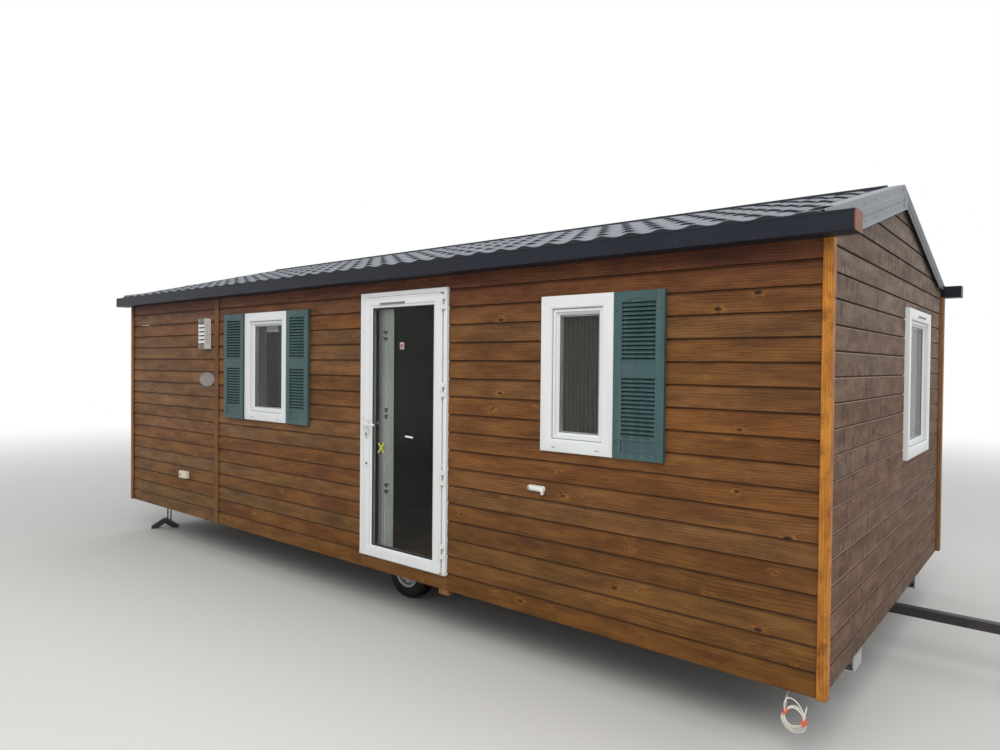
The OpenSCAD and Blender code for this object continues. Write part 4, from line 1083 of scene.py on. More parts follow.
def battens():
    (x0, _, _), (x1, _, z1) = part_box("cover_batten")
    y = YF - 0.012
    sec = [(x0, YF), (x0, y + 0.003), (x0 + 0.003, y), (x0 + 0.067, y), (x0 + 0.070, y + 0.003), (x0 + 0.070, YF)]
    bd = Build()
    bd.loft([[(a, b, z) for a, b in sec] for z in steps(SKIRT + 0.0005, z1 - 0.0005, 6)], 0, 0.31)
    for z in (0.12, 0.62, 1.12, 1.62, 2.12):
        for dx in (0.018, 0.052):
            cyl(bd, (x0 + dx, y + 0.0002, SKIRT + z), OUT, 0.0038, 0.0005, 1, 12)
    bd.box((x1 - 0.100, YF, SKIRT - 0.035), (x1, YF + 0.040, SKIRT - 0.0005), 0, 0.7)
    bd.obj("cover_batten_boards", [M_DARKWOOD, M_DARK], node="cover_batten", bevel=0.0015)


posts()
battens()


# ---------------------------------------------------------------- frames and glass
def corners(w, h):
    """The corners of a frame, each with its two inward directions."""
    return [(0, 0, 1, 1), (w, 0, -1, 1), (w, h, -1, -1), (0, h, 1, -1)]


def mitred(bd, place, ends, prof, mat=0, loop=True):
    """A profile swept from corner to corner: prof is a loop of (inset, depth)."""
    bd.loft([[place(cx + sx * i, d, cz + sz * i) for i, d in prof] for cx, cz, sx, sz in ends], mat, loop=loop)


def slot_cap(bd, place, x, z, w, h, d):
    """A small oblong drain cap: a raised rim round a slot painted dark grey as shade."""
    def oblong(ww, hh, dd):
        r = hh / 2
        return [place(x + s * (ww / 2 - r) + r * math.cos(a), dd, z + r * math.sin(a))
                for s, a0 in ((1, -90), (-1, 90)) for a in map(math.radians, steps(a0, a0 + 180, 8))]

    bd.loft([oblong(w, h, d), oblong(w, h, d - 0.0010), oblong(w - 0.003, h - 0.003, d - 0.0018)])
    bd.loft([oblong(w - 0.006, h - 0.0065, d - 0.0012), oblong(w - 0.006, h - 0.0065, d - 0.0021)], 1)


def rounded_plate(bd, place, cx, cz, w, h, r, d0, d1, mat=0, dome=0.0008):
    """A plate round (cx, cz) with rounded corners, from depth d0 to its slightly domed face at d1."""
    def loop(ww, hh, rr, d):
        return [place(cx + sx * (ww / 2 - rr) + rr * math.cos(a), d, cz + sz * (hh / 2 - rr) + rr * math.sin(a))
                for sx, sz, a0 in ((1, 1, 0), (-1, 1, 90), (-1, -1, 180), (1, -1, 270))
                for a in map(math.radians, steps(a0, a0 + 90, 6))]

    s = dome if d1 < d0 else -dome
    bd.loft([loop(w, h, r, d0), loop(w, h, r, d1 + s * 2), loop(w - 0.0012, h - 0.0012, r - 0.0004, d1 + s * 0.6),
             loop(w - 0.005, h - 0.005, max(r - 0.002, 0.0006), d1)], mat)


def window(name, node, place, w, h, vent=False):
    """A frame with its sash; F and S are the insets of their inner edges."""
    bd = Build()
    F, S = 0.080, 0.101
    for mat, prof in (
            (0, [(0, 0.0895), (0, 0.005), (0.0012, 0.0017), (0.0045, 0.0004), (0.066, 0.0004), (0.0725, 0.0016),
                 (0.0768, 0.0050), (F, 0.0105), (F, 0.0895)]),
            # the shadow gap, then the sash with its bead and gasket
            (1, [(F - 0.002, 0.021), (F + 0.0032, 0.021), (F + 0.0032, 0.025), (F - 0.002, 0.025)]),
            (0, [(F + 0.0028, 0.088), (F + 0.0028, 0.0200), (F + 0.0042, 0.0178), (F + 0.0065, 0.0172),
                 (S - 0.0042, 0.0172), (S - 0.0018, 0.0180), (S - 0.0006, 0.0200), (S - 0.0006, 0.0290),
                 (S - 0.0006, 0.088)]),
            (0, [(S - 0.001, 0.043), (S - 0.001, 0.0275), (S + 0.0010, 0.0262), (S + 0.0045, 0.0262),
                 (S + 0.0165, 0.0378), (S + 0.0182, 0.0405), (S + 0.0182, 0.0438), (S + 0.010, 0.0438)]),
            (1, [(S + 0.0176, 0.0438), (S + 0.0176, 0.0412), (S + 0.0200, 0.0405), (S + 0.0218, 0.0430),
                 (S + 0.0218, 0.0438)]),
            # the sash's inner half behind the pane, and the spacer bar between the two panes
            (0, [(S + 0.0005, 0.0645), (S + 0.0190, 0.0645), (S + 0.0205, 0.0690), (S + 0.0205, 0.0865),
                 (S + 0.0005, 0.0865)]),
            (2, [(S + 0.0190, 0.0482), (S + 0.0262, 0.0482), (S + 0.0262, 0.0598), (S + 0.0190, 0.0598)])):
        mitred(bd, place, corners(w, h), prof, mat)
    # weld lines at the mitres of the outer frame
    t = 0.0004
    for cx, cz, sx, sz in corners(w, h):
        line = [(cx + sx * (p + q), cz + sz * (p - q)) for p, q in ((0.0045, -t), (0.0045, t), (0.070, t), (0.070, -t))]
        bd.plate(place, line, 0.0003, 0.0009, 3)
    for share in (0.20, 0.80):
        slot_cap(bd, place, w * share, 0.030, 0.034, 0.011, 0.0008)
    if vent:
        vw, vz = 0.34, h - 0.047
        x0 = w * 0.53 - vw / 2
        rounded_plate(bd, place, x0 + vw / 2, vz, vw, 0.030, 0.006, 0.0006, -0.0040)
        # the vent's two slots, in the grey gasket finish as painted shade
        for a in (x0 + 0.012, x0 + 0.008 + vw / 2):
            bd.plate(place, rect(a, a + vw / 2 - 0.020, vz - 0.0085, vz + 0.0065), -0.0036, -0.0044, 1)
    bd.obj(name, [M_PVC, M_GASKET, M_STEEL, M_SEAM], node=node, angle=28)


SIDE = 0.080 + 0.042 - 0.003


def panes(name, node, places, mat=M_GLASS):
    bd = Build()
    for place, w, h in places:
        for d in (0.044, 0.060):
            bd.plate(place, rect(SIDE, w - SIDE, SIDE, h - SIDE), d, d + 0.004)
    bd.obj(name, [mat], node=node)


def place_of(node, rear=False):
    """Place function, width and height of a node in the door wall or right end wall, or mirrored to the rear."""
    lo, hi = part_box(node)
    if node.startswith("end"):
        return ((lambda x, d, z: (XL + d, hi[1] - x, lo[2] + z)) if rear else
                (lambda x, d, z: (hi[0] - d, lo[1] + x, lo[2] + z))), hi[1] - lo[1], hi[2] - lo[2]
    return ((lambda x, d, z: (hi[0] - x, -lo[1] - d, lo[2] + z)) if rear else seen_from(lo),
            hi[0] - lo[0], hi[2] - lo[2])


WINDOWS = ("left_window", "right_window", "end_window")
for node in WINDOWS:
    window(node + "_frame", node, *place_of(node), vent=node == "end_window")
    panes(node + "_panes", node + "_glass", [place_of(node)], M_ENDGLASS if node == "end_window" else M_GLASS)
for i, node in enumerate(WINDOWS):
    window("rear_window_frame_%d" % i, "rear_windows", *place_of(node, True), vent=node == "end_window")
panes("rear_window_panes", "rear_windows_glass", [place_of(node, True) for node in WINDOWS])


# ---------------------------------------------------------------- shutters
def shutter(node):
    lo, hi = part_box(node)
    w, t, h = (b - a for a, b in zip(lo, hi))
    place = seen_from(lo)
    st, top, mid, foot = 0.052, 0.065, 0.093, 0.125
    lh = (h - top - mid - foot) / 2
    z_mid = foot + lh
    bd = Build()
    # stiles in full height, rails between them
    bd.boxes(place, ((0, st, 0, t, 0, h, 0, 0.11), (w - st, w, 0, t, 0, h, 0, 0.47),
                     (st, w - st, 0.0035, t, h - top, h, 0, 0.63), (st, w - st, 0.0006, t, z_mid, z_mid + mid, 1, 0.83),
                     (st, w - st, 0.0045, t, 0, foot, 1, 0.29), (st, w - st, 0, 0.0045, 0, 0.038, 0, 0.29),
                     (st, w - st, 0, 0.0045, foot - 0.016, foot, 0, 0.29)))
    # the face of the top rail over a pointed arch
    bd.plate(place, [(st, h - top), (w / 2, h - top + 0.024), (w - st, h - top), (w - st, h - 0.0006),
                     (st, h - 0.0006)], 0.0, 0.0036, 0, 0.63)
    bd.obj(node + "_frame", [M_TEAL, M_TEALPANEL], node=node, bevel=0.0022, segs=3)
    # slats with rounded fronts over a closed back painted near black as the shade between them, small mouldings beside
    # them, and screw heads
    bs = Build()
    slat = [(-0.0150, -0.0020), (-0.0162, 0.0), (-0.0150, 0.0028), (-0.0120, 0.0040), (0.0130, 0.0040),
            (0.0150, 0.0016), (0.0150, -0.0024), (0.0130, -0.0040), (-0.0120, -0.0040)]
    ca, sa = math.cos(math.radians(40)), math.sin(math.radians(40))
    fields = (foot, z_mid + mid)
    for z0 in fields:
        bs.box(place(st - 0.001, t - 0.009, z0 - 0.001), place(w - st + 0.001, t - 0.0012, z0 + lh + 0.001), 3)
    for z0 in fields:
        for i in range(14):
            zc = z0 + (i + 0.5) * lh / 14
            sec = [(min(max(t * 0.42 + p * ca - q * sa, 0.0020), t - 0.0095), zc + p * sa + q * ca) for p, q in slat]
            bs.bar(place, sec, st - 0.001, w - st + 0.001, 0, 0.1 + 0.05 * (i % 7))
        for x0, x1 in ((st - 0.0045, st + 0.0015), (w - st - 0.0015, w - st + 0.0045)):
            sec = [(x0, 0.003), (x0, 0.0003), (x0 + 0.0012, -0.0006), (x1 - 0.0012, -0.0006), (x1, 0.0004), (x1, 0.003)]
            bs.loft([[place(x, d, z) for x, d in sec] for z in (z0 - 0.003, z0 + lh + 0.003)], 0, 0.5)
    for x in (st * 0.42, w - st * 0.42):
        for z in (0.100, h - 0.110):
            cyl(bs, place(x, 0.0004, z), OUT, 0.0085, 0.0030, 0, 18, r2=0.0055, rnd=0.9)
            cyl(bs, place(x, -0.0024, z), OUT, 0.0022, 0.0006, 2, 8)
    bs.obj(node + "_slats", [M_TEAL, M_STEEL, M_DARK, M_SHUTTER_SHADE], angle=40)


for node in ("left_shutter_outer", "left_shutter_inner", "right_shutter"):
    shutter(node)


# ---------------------------------------------------------------- door
D_LO, D_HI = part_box("door_frame")
DW, DH = D_HI[0] - D_LO[0], D_HI[2] - D_LO[2]
JAMB, STOP, SILL = 0.036, 0.014, 0.006
LEAF = (D_LO[0] + JAMB + 0.008, D_LO[1] - 0.005, D_LO[2] + SILL + 0.008)
LW, LH, LT = DW - 2 * JAMB - 0.016, DH - JAMB - SILL - 0.016, 0.056
STILE, RAIL = 0.096, 0.078
HINGE = (D_HI[0] - JAMB + 0.002, LEAF[1] - 0.011)
HINGE_Z = [LEAF[2] + u for u in (0.160, 0.685, 1.310, LH - 0.062)]
KNUCKLE = 0.034
leaf_place = seen_from(LEAF)


def knuckle(bd, z0, long, ear, inset, mat):
    """One knuckle of a hinge with the ear that joins it to frame or leaf."""
    cyl(bd, (*HINGE, z0), UP, 0.0088, long, mat, 24)
    bd.loft([[(HINGE[0] + a, HINGE[1] + b, z) for a, b in ear] for z in (z0 + inset, z0 + long - inset)], mat)


def door_frame():
    place = seen_from(D_LO)
    jambs = [(0, SILL, 1, 0), (0, DH, 1, -1), (DW, DH, -1, -1), (DW, SILL, -1, 0)]
    rb = 0.059
    bd = Build()
    mitred(bd, place, jambs, [
        (0, 0.0895), (0, 0.0045), (0.0015, 0.0012), (0.0045, 0.0004), (JAMB - 0.0065, 0.0004), (JAMB - 0.0020, 0.0016),
        (JAMB, 0.0050), (JAMB, rb), (JAMB + STOP, rb), (JAMB + STOP, 0.0895)], 0, False)
    # seal in the rebate
    mitred(bd, place, jambs, [(JAMB + 0.002, rb), (JAMB + 0.002, rb - 0.0045), (JAMB + 0.005, rb - 0.0062),
                              (JAMB + 0.008, rb - 0.0045), (JAMB + 0.008, rb)], 1, False)
    # low metal threshold with two grip ribs and a nosing
    bd.bar(place, [(0.0004, 0.0), (0.0004, 0.0045), (0.0022, 0.006), (0.020, 0.006), (0.0215, 0.0044),
                   (0.0235, 0.0044), (0.025, 0.006), (0.0895, 0.006), (0.0895, 0.0)], 0.0, DW, 2)
    # beige corner blocks at the feet of the jambs, screw caps above them
    for x0 in (0.0012, DW - JAMB - 0.0002):
        x1 = x0 + JAMB - 0.002
        bd.plate(place, [(x0, SILL + 0.0002), (x1, SILL + 0.0002), (x1, SILL + 0.020), (x0, SILL + 0.024)],
                 -0.0016, 0.003, 3)
    for z in (0.30, 1.78):
        cyl(bd, place(JAMB * 0.5, 0.0004, z), OUT, 0.0055, 0.0012, 0, 14)
    # the frame's halves of the four hinges, with their pins
    yb = D_LO[1] - HINGE[1]
    ear = [(0.0, -0.0088), (0.004, -0.0078), (0.024, yb - 0.004), (0.024, yb + 0.001), (0.0, yb + 0.001)]
    for z in HINGE_Z:
        for up in (-1, 1):
            z0 = z + up * (KNUCKLE + 0.001) - KNUCKLE / 2
            knuckle(bd, z0, KNUCKLE, ear, 0.0004, 4)
            end, r, r2 = (z0 + KNUCKLE, 0.0072, 0.0062) if up > 0 else (z0 - 0.0028, 0.0062, 0.0072)
            cyl(bd, (*HINGE, end), UP, r, 0.0028, 4, 20, r2=r2)
        cyl(bd, (*HINGE, z - KNUCKLE / 2 - 0.001), UP, 0.0039, KNUCKLE + 0.002, 4, 16)
    bd.obj("door_frame_profiles", [M_PVC, M_GASKET, M_STEEL, M_CREAM, M_WHITE], node=["door_frame", "door_hinges"],
           angle=30)


def door_leaf():
    bd = Build()
    # each ring: (inset, depth) from the leaf's edge, (inset, depth) from the line of the glass, material
    for outer, inner, mat in (
            ([(0, LT - 0.0005), (0, 0.004), (0.0015, 0.0012), (0.0045, 0.0004)],
             [(-0.0275, 0.0004), (-0.0245, 0.0014), (-0.0232, 0.0038), (-0.0232, 0.0090), (-0.0232, LT - 0.0005)], 0),
            ([], [(-0.0240, 0.0150), (-0.0240, 0.0078), (-0.0222, 0.0064), (-0.0190, 0.0064), (-0.0050, 0.0128),
                  (-0.0034, 0.0152), (-0.0034, 0.0158)], 0),
            ([], [(-0.0042, 0.0158), (-0.0040, 0.0138), (-0.0014, 0.0132), (-0.0002, 0.0158)], 1),
            ([], [(-0.0235, LT - 0.0005), (-0.0235, 0.0405), (-0.0008, 0.0405), (-0.0008, 0.0440),
                  (-0.0090, LT - 0.0005)], 0),
            ([], [(-0.004, 0.0200), (0.0070, 0.0200), (0.0070, 0.0360), (-0.004, 0.0360)], 2)):
        prof = [(i, i, d) for i, d in outer] + [(STILE + i, RAIL + i, d) for i, d in inner]
        bd.loft([[leaf_place(cx + sx * i, d, cz + sz * j) for i, j, d in prof]
                 for cx, cz, sx, sz in corners(LW, LH)], mat, loop=True)
    # the leaf's lip laps the frame's face at the lock side, head and foot
    hx = LW - 0.012
    mitred(bd, leaf_place, [(hx, 0, 0, 1), (0, 0, 1, 1), (0, LH, 1, -1), (hx, LH, 0, -1)],
           [(-0.0066, -0.0004), (-0.0062, -0.0020), (-0.0046, -0.0030), (0.006, -0.0030), (0.006, 0.0008),
            (-0.0066, 0.0008)], 0, False)
    # trickle vent: a slim hood over a slot painted dark grey as shade
    vx, vz = STILE + 0.090, LH - 0.048
    bd.plate(leaf_place, rect(vx, vx + 0.280, vz - 0.006, vz + 0.012), -0.0002, 0.0006, 1)
    bd.bar(leaf_place, [(0.0006, vz + 0.0145), (-0.0035, vz + 0.0135), (-0.0042, vz + 0.0105), (-0.0030, vz + 0.0100),
                        (-0.0020, vz + 0.0120), (0.0006, vz + 0.0125)], vx - 0.004, vx + 0.284)
    for x in steps(vx + 0.012, vx + 0.268, 11):
        bd.plate(leaf_place, rect(x - 0.0012, x + 0.0012, vz - 0.006, vz + 0.012), -0.0006, 0.0004)
    # the leaf's knuckles
    yb = LEAF[1] - HINGE[1] + 0.001
    ear = [(0.0, -0.0088), (-0.004, -0.0080), (-0.022, yb - 0.0045), (-0.022, yb), (0.0, yb)]
    for z in HINGE_Z:
        knuckle(bd, z - KNUCKLE / 2 + 0.0003, KNUCKLE - 0.0006, ear, 0.0003, 3)
    bd.obj("door_leaf_profiles", [M_PVC, M_GASKET, M_STEEL, M_WHITE], body="door", node="door_leaf",
           angle=28)
    bd = Build()
    for d in (0.0160, 0.0362):
        bd.plate(leaf_place, rect(STILE - 0.003, LW - STILE + 0.003, RAIL - 0.003, LH - RAIL + 0.003), d, d + 0.004)
    bd.obj("door_panes", [M_GLASS], body="door", node="door_glass")


def handle():
    bd = Build()
    sx, sz = STILE / 2, D_LO[2] + 1.032 - LEAF[2]
    kz = sz - 0.080
    # the lever's line: along the door, and away from its face
    lever = [(0.0, 0.030), (0.0, 0.037), (0.0025, 0.0425), (0.009, 0.0455), (0.022, 0.0465), (0.060, 0.0460),
             (0.100, 0.0450), (0.118, 0.0435), (0.1235, 0.0405), (0.1250, 0.0370)]
    last = len(lever) - 1
    for side in (-1, 1):
        out = Vector((0, side, 0))

        def place(x, d, z, side=side):
            """Depths below 0 stand out of the door's face on either side."""
            return leaf_place(x, d if side < 0 else LT - d, z)

        rounded_plate(bd, place, sx, sz - 0.035, 0.034, 0.150, 0.012, 0.0004, -0.0085)
        rounded_plate(bd, place, sx, sz - 0.035, 0.0275, 0.142, 0.010, -0.0080, -0.0098)
        c = Vector(place(sx, -0.008, sz))
        cyl(bd, c, out, 0.0135, 0.006, 0, 24, r2=0.0118)
        cyl(bd, c + out * 0.005, out, 0.0098, 0.026, 0, 24)
        # the lever: a bent bar, round at the neck and flatter at the end
        rings = []
        for i, (along, away) in enumerate(lever):
            a, b = lever[max(i - 1, 0)], lever[min(i + 1, last)]
            t = Vector((b[0] - a[0], b[1] - a[1])).normalized()
            f = i / last
            rw, rz = 0.0092 * (1 - f) + 0.0052 * f, 0.0095 * (1 - f) + 0.0088 * f
            rings.append([place(sx + along - t.y * rw * cos, -(away + t.x * rw * cos), sz + rz * sin)
                          for cos, sin in circle(16)])
        bd.loft(rings)
        # key cylinder: a pear-shaped steel insert with its slot, painted dark as the shade in it
        cyl(bd, place(sx, -0.0092, kz + 0.004), out, 0.0086, 0.0052, 1, 24)
        rounded_plate(bd, place, sx, kz - 0.008, 0.0100, 0.020, 0.0048, -0.0092, -0.0140, 1, 0.0004)
        cyl(bd, place(sx, -0.0142, kz + 0.004), out, 0.0062, 0.0006, 1, 20)
        rounded_plate(bd, place, sx, kz + 0.004, 0.0016, 0.0085, 0.0006, -0.0146, -0.0151, 2, 0.0001)
        for dz in (0.030, -0.100):
            cyl(bd, place(sx, -0.0096, sz + dz), out, 0.0040, 0.0008, 1, 14)
            cyl(bd, place(sx, -0.0104, sz + dz), out, 0.0018, 0.0003, 2, 8)
    # the second lock below, outside only
    lz = sz - 0.310
    rounded_plate(bd, leaf_place, sx, lz, 0.036, 0.053, 0.012, 0.0004, -0.0068)
    cyl(bd, leaf_place(sx, -0.0066, lz + 0.004), OUT, 0.0100, 0.0030, 1, 24)
    cyl(bd, leaf_place(sx, -0.0094, lz + 0.004), OUT, 0.0066, 0.0006, 1, 20)
    rounded_plate(bd, leaf_place, sx, lz + 0.004, 0.0018, 0.0090, 0.0007, -0.0096, -0.0102, 2, 0.0001)
    bd.obj("door_handle_set", [M_WHITE, M_LOCK, M_DARK], body="door", node="door_handle",
           angle=42)


def pane_marks():
    """A yellow tape cross, a blank sticker and a small white mark on the glass."""
    bd = Build()
    # middle, length, width, degrees, material
    for cx, cz, ln, wd, deg, mat in (
            (0.193, 0.839, 0.104, 0.0125, 50, 0), (0.195, 0.841, 0.098, 0.0125, -47, 0),
            (0.422, 1.624, 0.052, 0.046, 90, 2), (0.422, 1.628, 0.030, 0.022, 0, 1),
            (0.418, 1.608, 0.026, 0.008, 0, 1), (0.505, 0.947, 0.084, 0.013, -3, 1)):
        ux, uz = math.cos(math.radians(deg)), math.sin(math.radians(deg))
        bd.plate(leaf_place, [(cx + s * ux - t * uz, cz + s * uz + t * ux)
                              for s, t in rect(-ln / 2, ln / 2, -wd / 2, wd / 2)], 0.0155, 0.0160, mat)
    bd.obj("door_pane_tapes", [M_YELLOW, M_PAPER, M_PINK], body="door")


# ---------------------------------------------------------------- curtains
def folded(name, node, x0, x1, folds, mat, seed, rests, depth=(0.002, 0.022), body="house"):
    """A hanging cloth with soft folds, from x0 to x1 in its node's box."""
    place, _, h = place_of(node)
    z0, z1, w = 0.001, h - 0.001, x1 - x0
    rng = random.Random(seed)
    for _ in range(folds + 2):
        rng.random()  # these draws have no use, but the folds' heights follow them
    am = [rng.uniform(0.65, 1.0) for _ in range(folds + 2)]
    grid = []
    for t in steps(0, 1, 28):
        g = 0.75 + 0.25 * t
        row = []
        for u in steps(0, 1, max(40, folds * 12)):
            s = u * folds
            k = min(int(s), folds - 1)
            a = am[k] * (1 - (s - k)) + am[k + 1] * (s - k)
            wave = math.sin(TURN * s + 0.35 * math.sin(3.1 * t + k)) * a * g
            sway = 0.10 * math.sin(2.3 * t + 5.0 * u)
            x = x0 + w * u + w / folds * 0.10 * math.sin(2 * TURN * s) * g
            row.append((min(max(x, x0), x1), 0.5 + 0.42 * wave + 0.06 * sway, z1 + (z0 - z1) * t))
        grid.append(row)
    bd = Build()
    # each point's depth in the folds, which the cloth paints darker as shade
    bd.strips([[place(x, depth[0] + (depth[1] - depth[0]) * f, z) for x, f, z in row] for row in grid], 0, True,
              [f for row in grid for _, f, _ in row])
    o = bd.obj(name, [mat], body=body, node=node, angle=180, recalc=False)
    a, b, c, d = np.array(bd.v)[np.array(bd.f)].transpose(1, 0, 2)
    area = float(0.5 * np.linalg.norm(np.cross(c - a, d - b), axis=1).sum())
    round(area / (z1 - z0), 4)
    round(z1 - z0, 4)


def curtains():
    # the door's, at the left of its pane, with small dark motifs
    w = place_of("door_curtain")[1]
    folded("door_curtain_cloth", "door_curtain", 0.001, w - 0.001, 6, M_DOORCLOTH, 4, "door_leaf", (0.001, 0.023),
           "door")
    # left window: grey cloth at the left, dark at the right, a light blind at the head
    node = "left_window_curtains"
    place, w, h = place_of(node)
    folded("left_window_cloth_a", node, 0.001, 0.150, 5, M_GREYCLOTH, 5, "left_window")
    folded("left_window_cloth_b", node, w - 0.150, w - 0.001, 4, M_DARKCLOTH, 6, "left_window")
    bd = Build()
    bd.bar(place, [(0.0160, h - 0.001), (0.0160, h - 0.066), (0.0120, h - 0.0690), (0.0120, h - 0.0760),
                   (0.0190, h - 0.0760), (0.0190, h - 0.0690), (0.0175, h - 0.066), (0.0175, h - 0.001)],
           0.112, w - 0.112)
    bd.obj("left_window_blind", [M_BLIND], bevel=0.0008)
    for window_node, folds, mat, seed in (("right_window", 11, M_BROWNCLOTH, 7), ("end_window", 15, M_LACE, 8)):
        node = window_node + "_curtain"
        folded(window_node + "_cloth", node, 0.001, place_of(node)[1] - 0.001, folds, mat, seed, window_node)


# ---------------------------------------------------------------- fittings on the door wall
def flue():
    lo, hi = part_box("flue_terminal")
    w, dep, h = (b - a for a, b in zip(lo, hi))
    place = seen_from(lo)
    t, zone, back = 0.004, 0.200, dep - 0.0003
    zb = (h - zone) / 2
    # two sides, closed top and foot, back plate, and fins between; the back plate and fins are painted near black as
    # the shade inside the box
    bd = Build()
    bd.boxes(place, ((0, t, 0.002, back, 0, h), (w - t, w, 0.002, back, 0, h), (t, w - t, 0.0015, back, h - zb, h, 2),
                     (t, w - t, 0.0015, back, 0, zb, 2), (t, w - t, dep - 0.006, back, zb, h - zb, 1)))
    for i in range(7):
        x = t + (w - 2 * t) * (i + 0.5) / 7
        bd.box(place(x - 0.0008, 0.016, zb), place(x + 0.0008, dep - 0.008, h - zb), 1)
    bd.obj("flue_box", [M_WHITE, M_DARK, M_FLUEGREY], node="flue_terminal", bevel=0.0014)
    bs = Build()
    for i in range(5):
        zc = zb + (i + 0.5) * zone / 5
        bs.bar(place, [(d, zc + z) for d, z in (
            (0.0018, -0.0150), (0.0002, -0.0120), (0.0002, 0.0070), (0.0022, 0.0105), (0.0130, 0.0150),
            (0.0150, 0.0135), (0.0044, 0.0072), (0.0038, -0.0130))], 0.0005, w - 0.0005)
    # punched rows of holes in the sides, seen as grey dots of painted shade
    for side_x, ax in ((w, 1), (0.0, -1)):
        for z in steps(zb + 0.008, zb + zone - 0.008, 10):
            for c in range(3):
                cyl(bs, place(side_x - ax * 0.0003, 0.018 + 0.016 * c, z), (ax, 0, 0), 0.0046, 0.0006, 3, 12)
    for z in (0.018, h - 0.018):
        for x in (0.022, w - 0.022):
            cyl(bs, place(x, 0.0016, z), OUT, 0.0052, 0.0014, 2, 14, r2=0.0036)
    # wall flange with rounded corners
    rounded_plate(bs, place, w / 2, h / 2, w - 0.0005, h - 0.0005, 0.010, back, dep - 0.004)
    bs.obj("flue_bars", [M_WHITE, M_DARK, M_STEEL, M_PUNCH], angle=38)


def oval():
    """A dished oval plate: rings of (share of the full height, distance from the wall)."""
    (x0, _, z0), (x1, _, z1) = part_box("oval_plate")
    cx, cz = (x0 + x1) / 2, (z0 + z1) / 2
    a, b = (x1 - x0) / 2, (z1 - z0) / 2
    bd = Build()
    bd.loft([[(cx + max(a - (1 - k) * b, 0.004) * cos, YF - o, cz + b * k * sin) for cos, sin in circle(96)]
             for k, o in ((1.0, 0.0002), (1.0, 0.0040), (0.985, 0.0062), (0.950, 0.0074), (0.915, 0.0074),
                          (0.895, 0.0058), (0.870, 0.0058), (0.850, 0.0070), (0.800, 0.0070), (0.780, 0.0052),
                          (0.740, 0.0048), (0.40, 0.0054), (0.06, 0.0057))])
    for s in (-1, 1):
        cyl(bd, (cx + s * (a - 0.030), YF - 0.0052, cz), OUT, 0.0050, 0.0016, 1, 16, r2=0.0036)
    bd.obj("oval_wall_plate", [M_OVAL, M_STEEL], node="oval_plate", angle=50)


def wall_fittings():
    bd = Build()
    # service box at the left, with a lid and a small catch
    place = seen_from((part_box("wall_fittings")[0][0], YF - 0.040, SKIRT + 0.381))
    rounded_plate(bd, place, 0.075, 0.0375, 0.150, 0.075, 0.006, 0.0399, 0.006)
    rounded_plate(bd, place, 0.075, 0.0375, 0.140, 0.066, 0.005, 0.0065, 0.0006)
    rounded_plate(bd, place, 0.100, 0.0375, 0.050, 0.046, 0.004, 0.0010, 0.0001, 1, 0.0002)
    rounded_plate(bd, place, 0.035, 0.0375, 0.028, 0.036, 0.004, 0.0010, 0.0001, 2, 0.0002)
    # water fitting: a rounded body on a flange, its turned-down end at the right
    place = seen_from((XR - 1.744 - 0.0655, YF - 0.030, SKIRT + 0.804))
    rounded_plate(bd, place, 0.0655, 0.019, 0.131, 0.038, 0.014, 0.0299, 0.0240, 3)
    rings = []
    for x, d, z, rd, rz in (
            (0.004, 0.016, 0.021, 0.006, 0.010), (0.010, 0.015, 0.021, 0.0125, 0.0135),
            (0.022, 0.0145, 0.021, 0.0140, 0.0150), (0.060, 0.0145, 0.021, 0.0142, 0.0152),
            (0.095, 0.0145, 0.020, 0.0142, 0.0158), (0.112, 0.0145, 0.016, 0.0140, 0.0180),
            (0.122, 0.0150, 0.010, 0.0130, 0.0200), (0.1285, 0.0155, 0.006, 0.0105, 0.0180),
            (0.1305, 0.0160, 0.004, 0.0050, 0.0120)):
        rings.append([place(x, d + rd * math.copysign(abs(c) ** 0.8, c), z + rz * math.copysign(abs(s) ** 0.8, s))
                      for c, s in circle(20)])
    bd.loft(rings, 3)
    cyl(bd, place(0.118, 0.015, -0.0138), UP, 0.0098, 0.012, 3, 20)
    # the bore of the turned-down end, a dark disc of painted shade
    cyl(bd, place(0.118, 0.015, -0.0139), UP, 0.0070, 0.0006, 4, 20)
    cyl(bd, place(0.018, 0.0020, 0.021), OUT, 0.0085, 0.0016, 2, 18)
    bd.obj("wall_fitting_set", [M_CREAM, M_CREAM, M_CREAMDARK, M_WHITE, M_DARK], node="wall_fittings",
           angle=40)


def label():
    """A blank weathered strip label high on the wall's left end."""
    bd = Build()
    place = seen_from((0, YF, 0))
    rounded_plate(bd, place, -4.055, 2.404, 0.190, 0.042, 0.003, 0.0030, 0.0008, 0, 0.0002)
    rounded_plate(bd, place, -4.085, 2.402, 0.100, 0.020, 0.002, 0.0012, 0.0005, 1, 0.0001)
    bd.obj("wall_label", [M_PAPER, M_PINK])


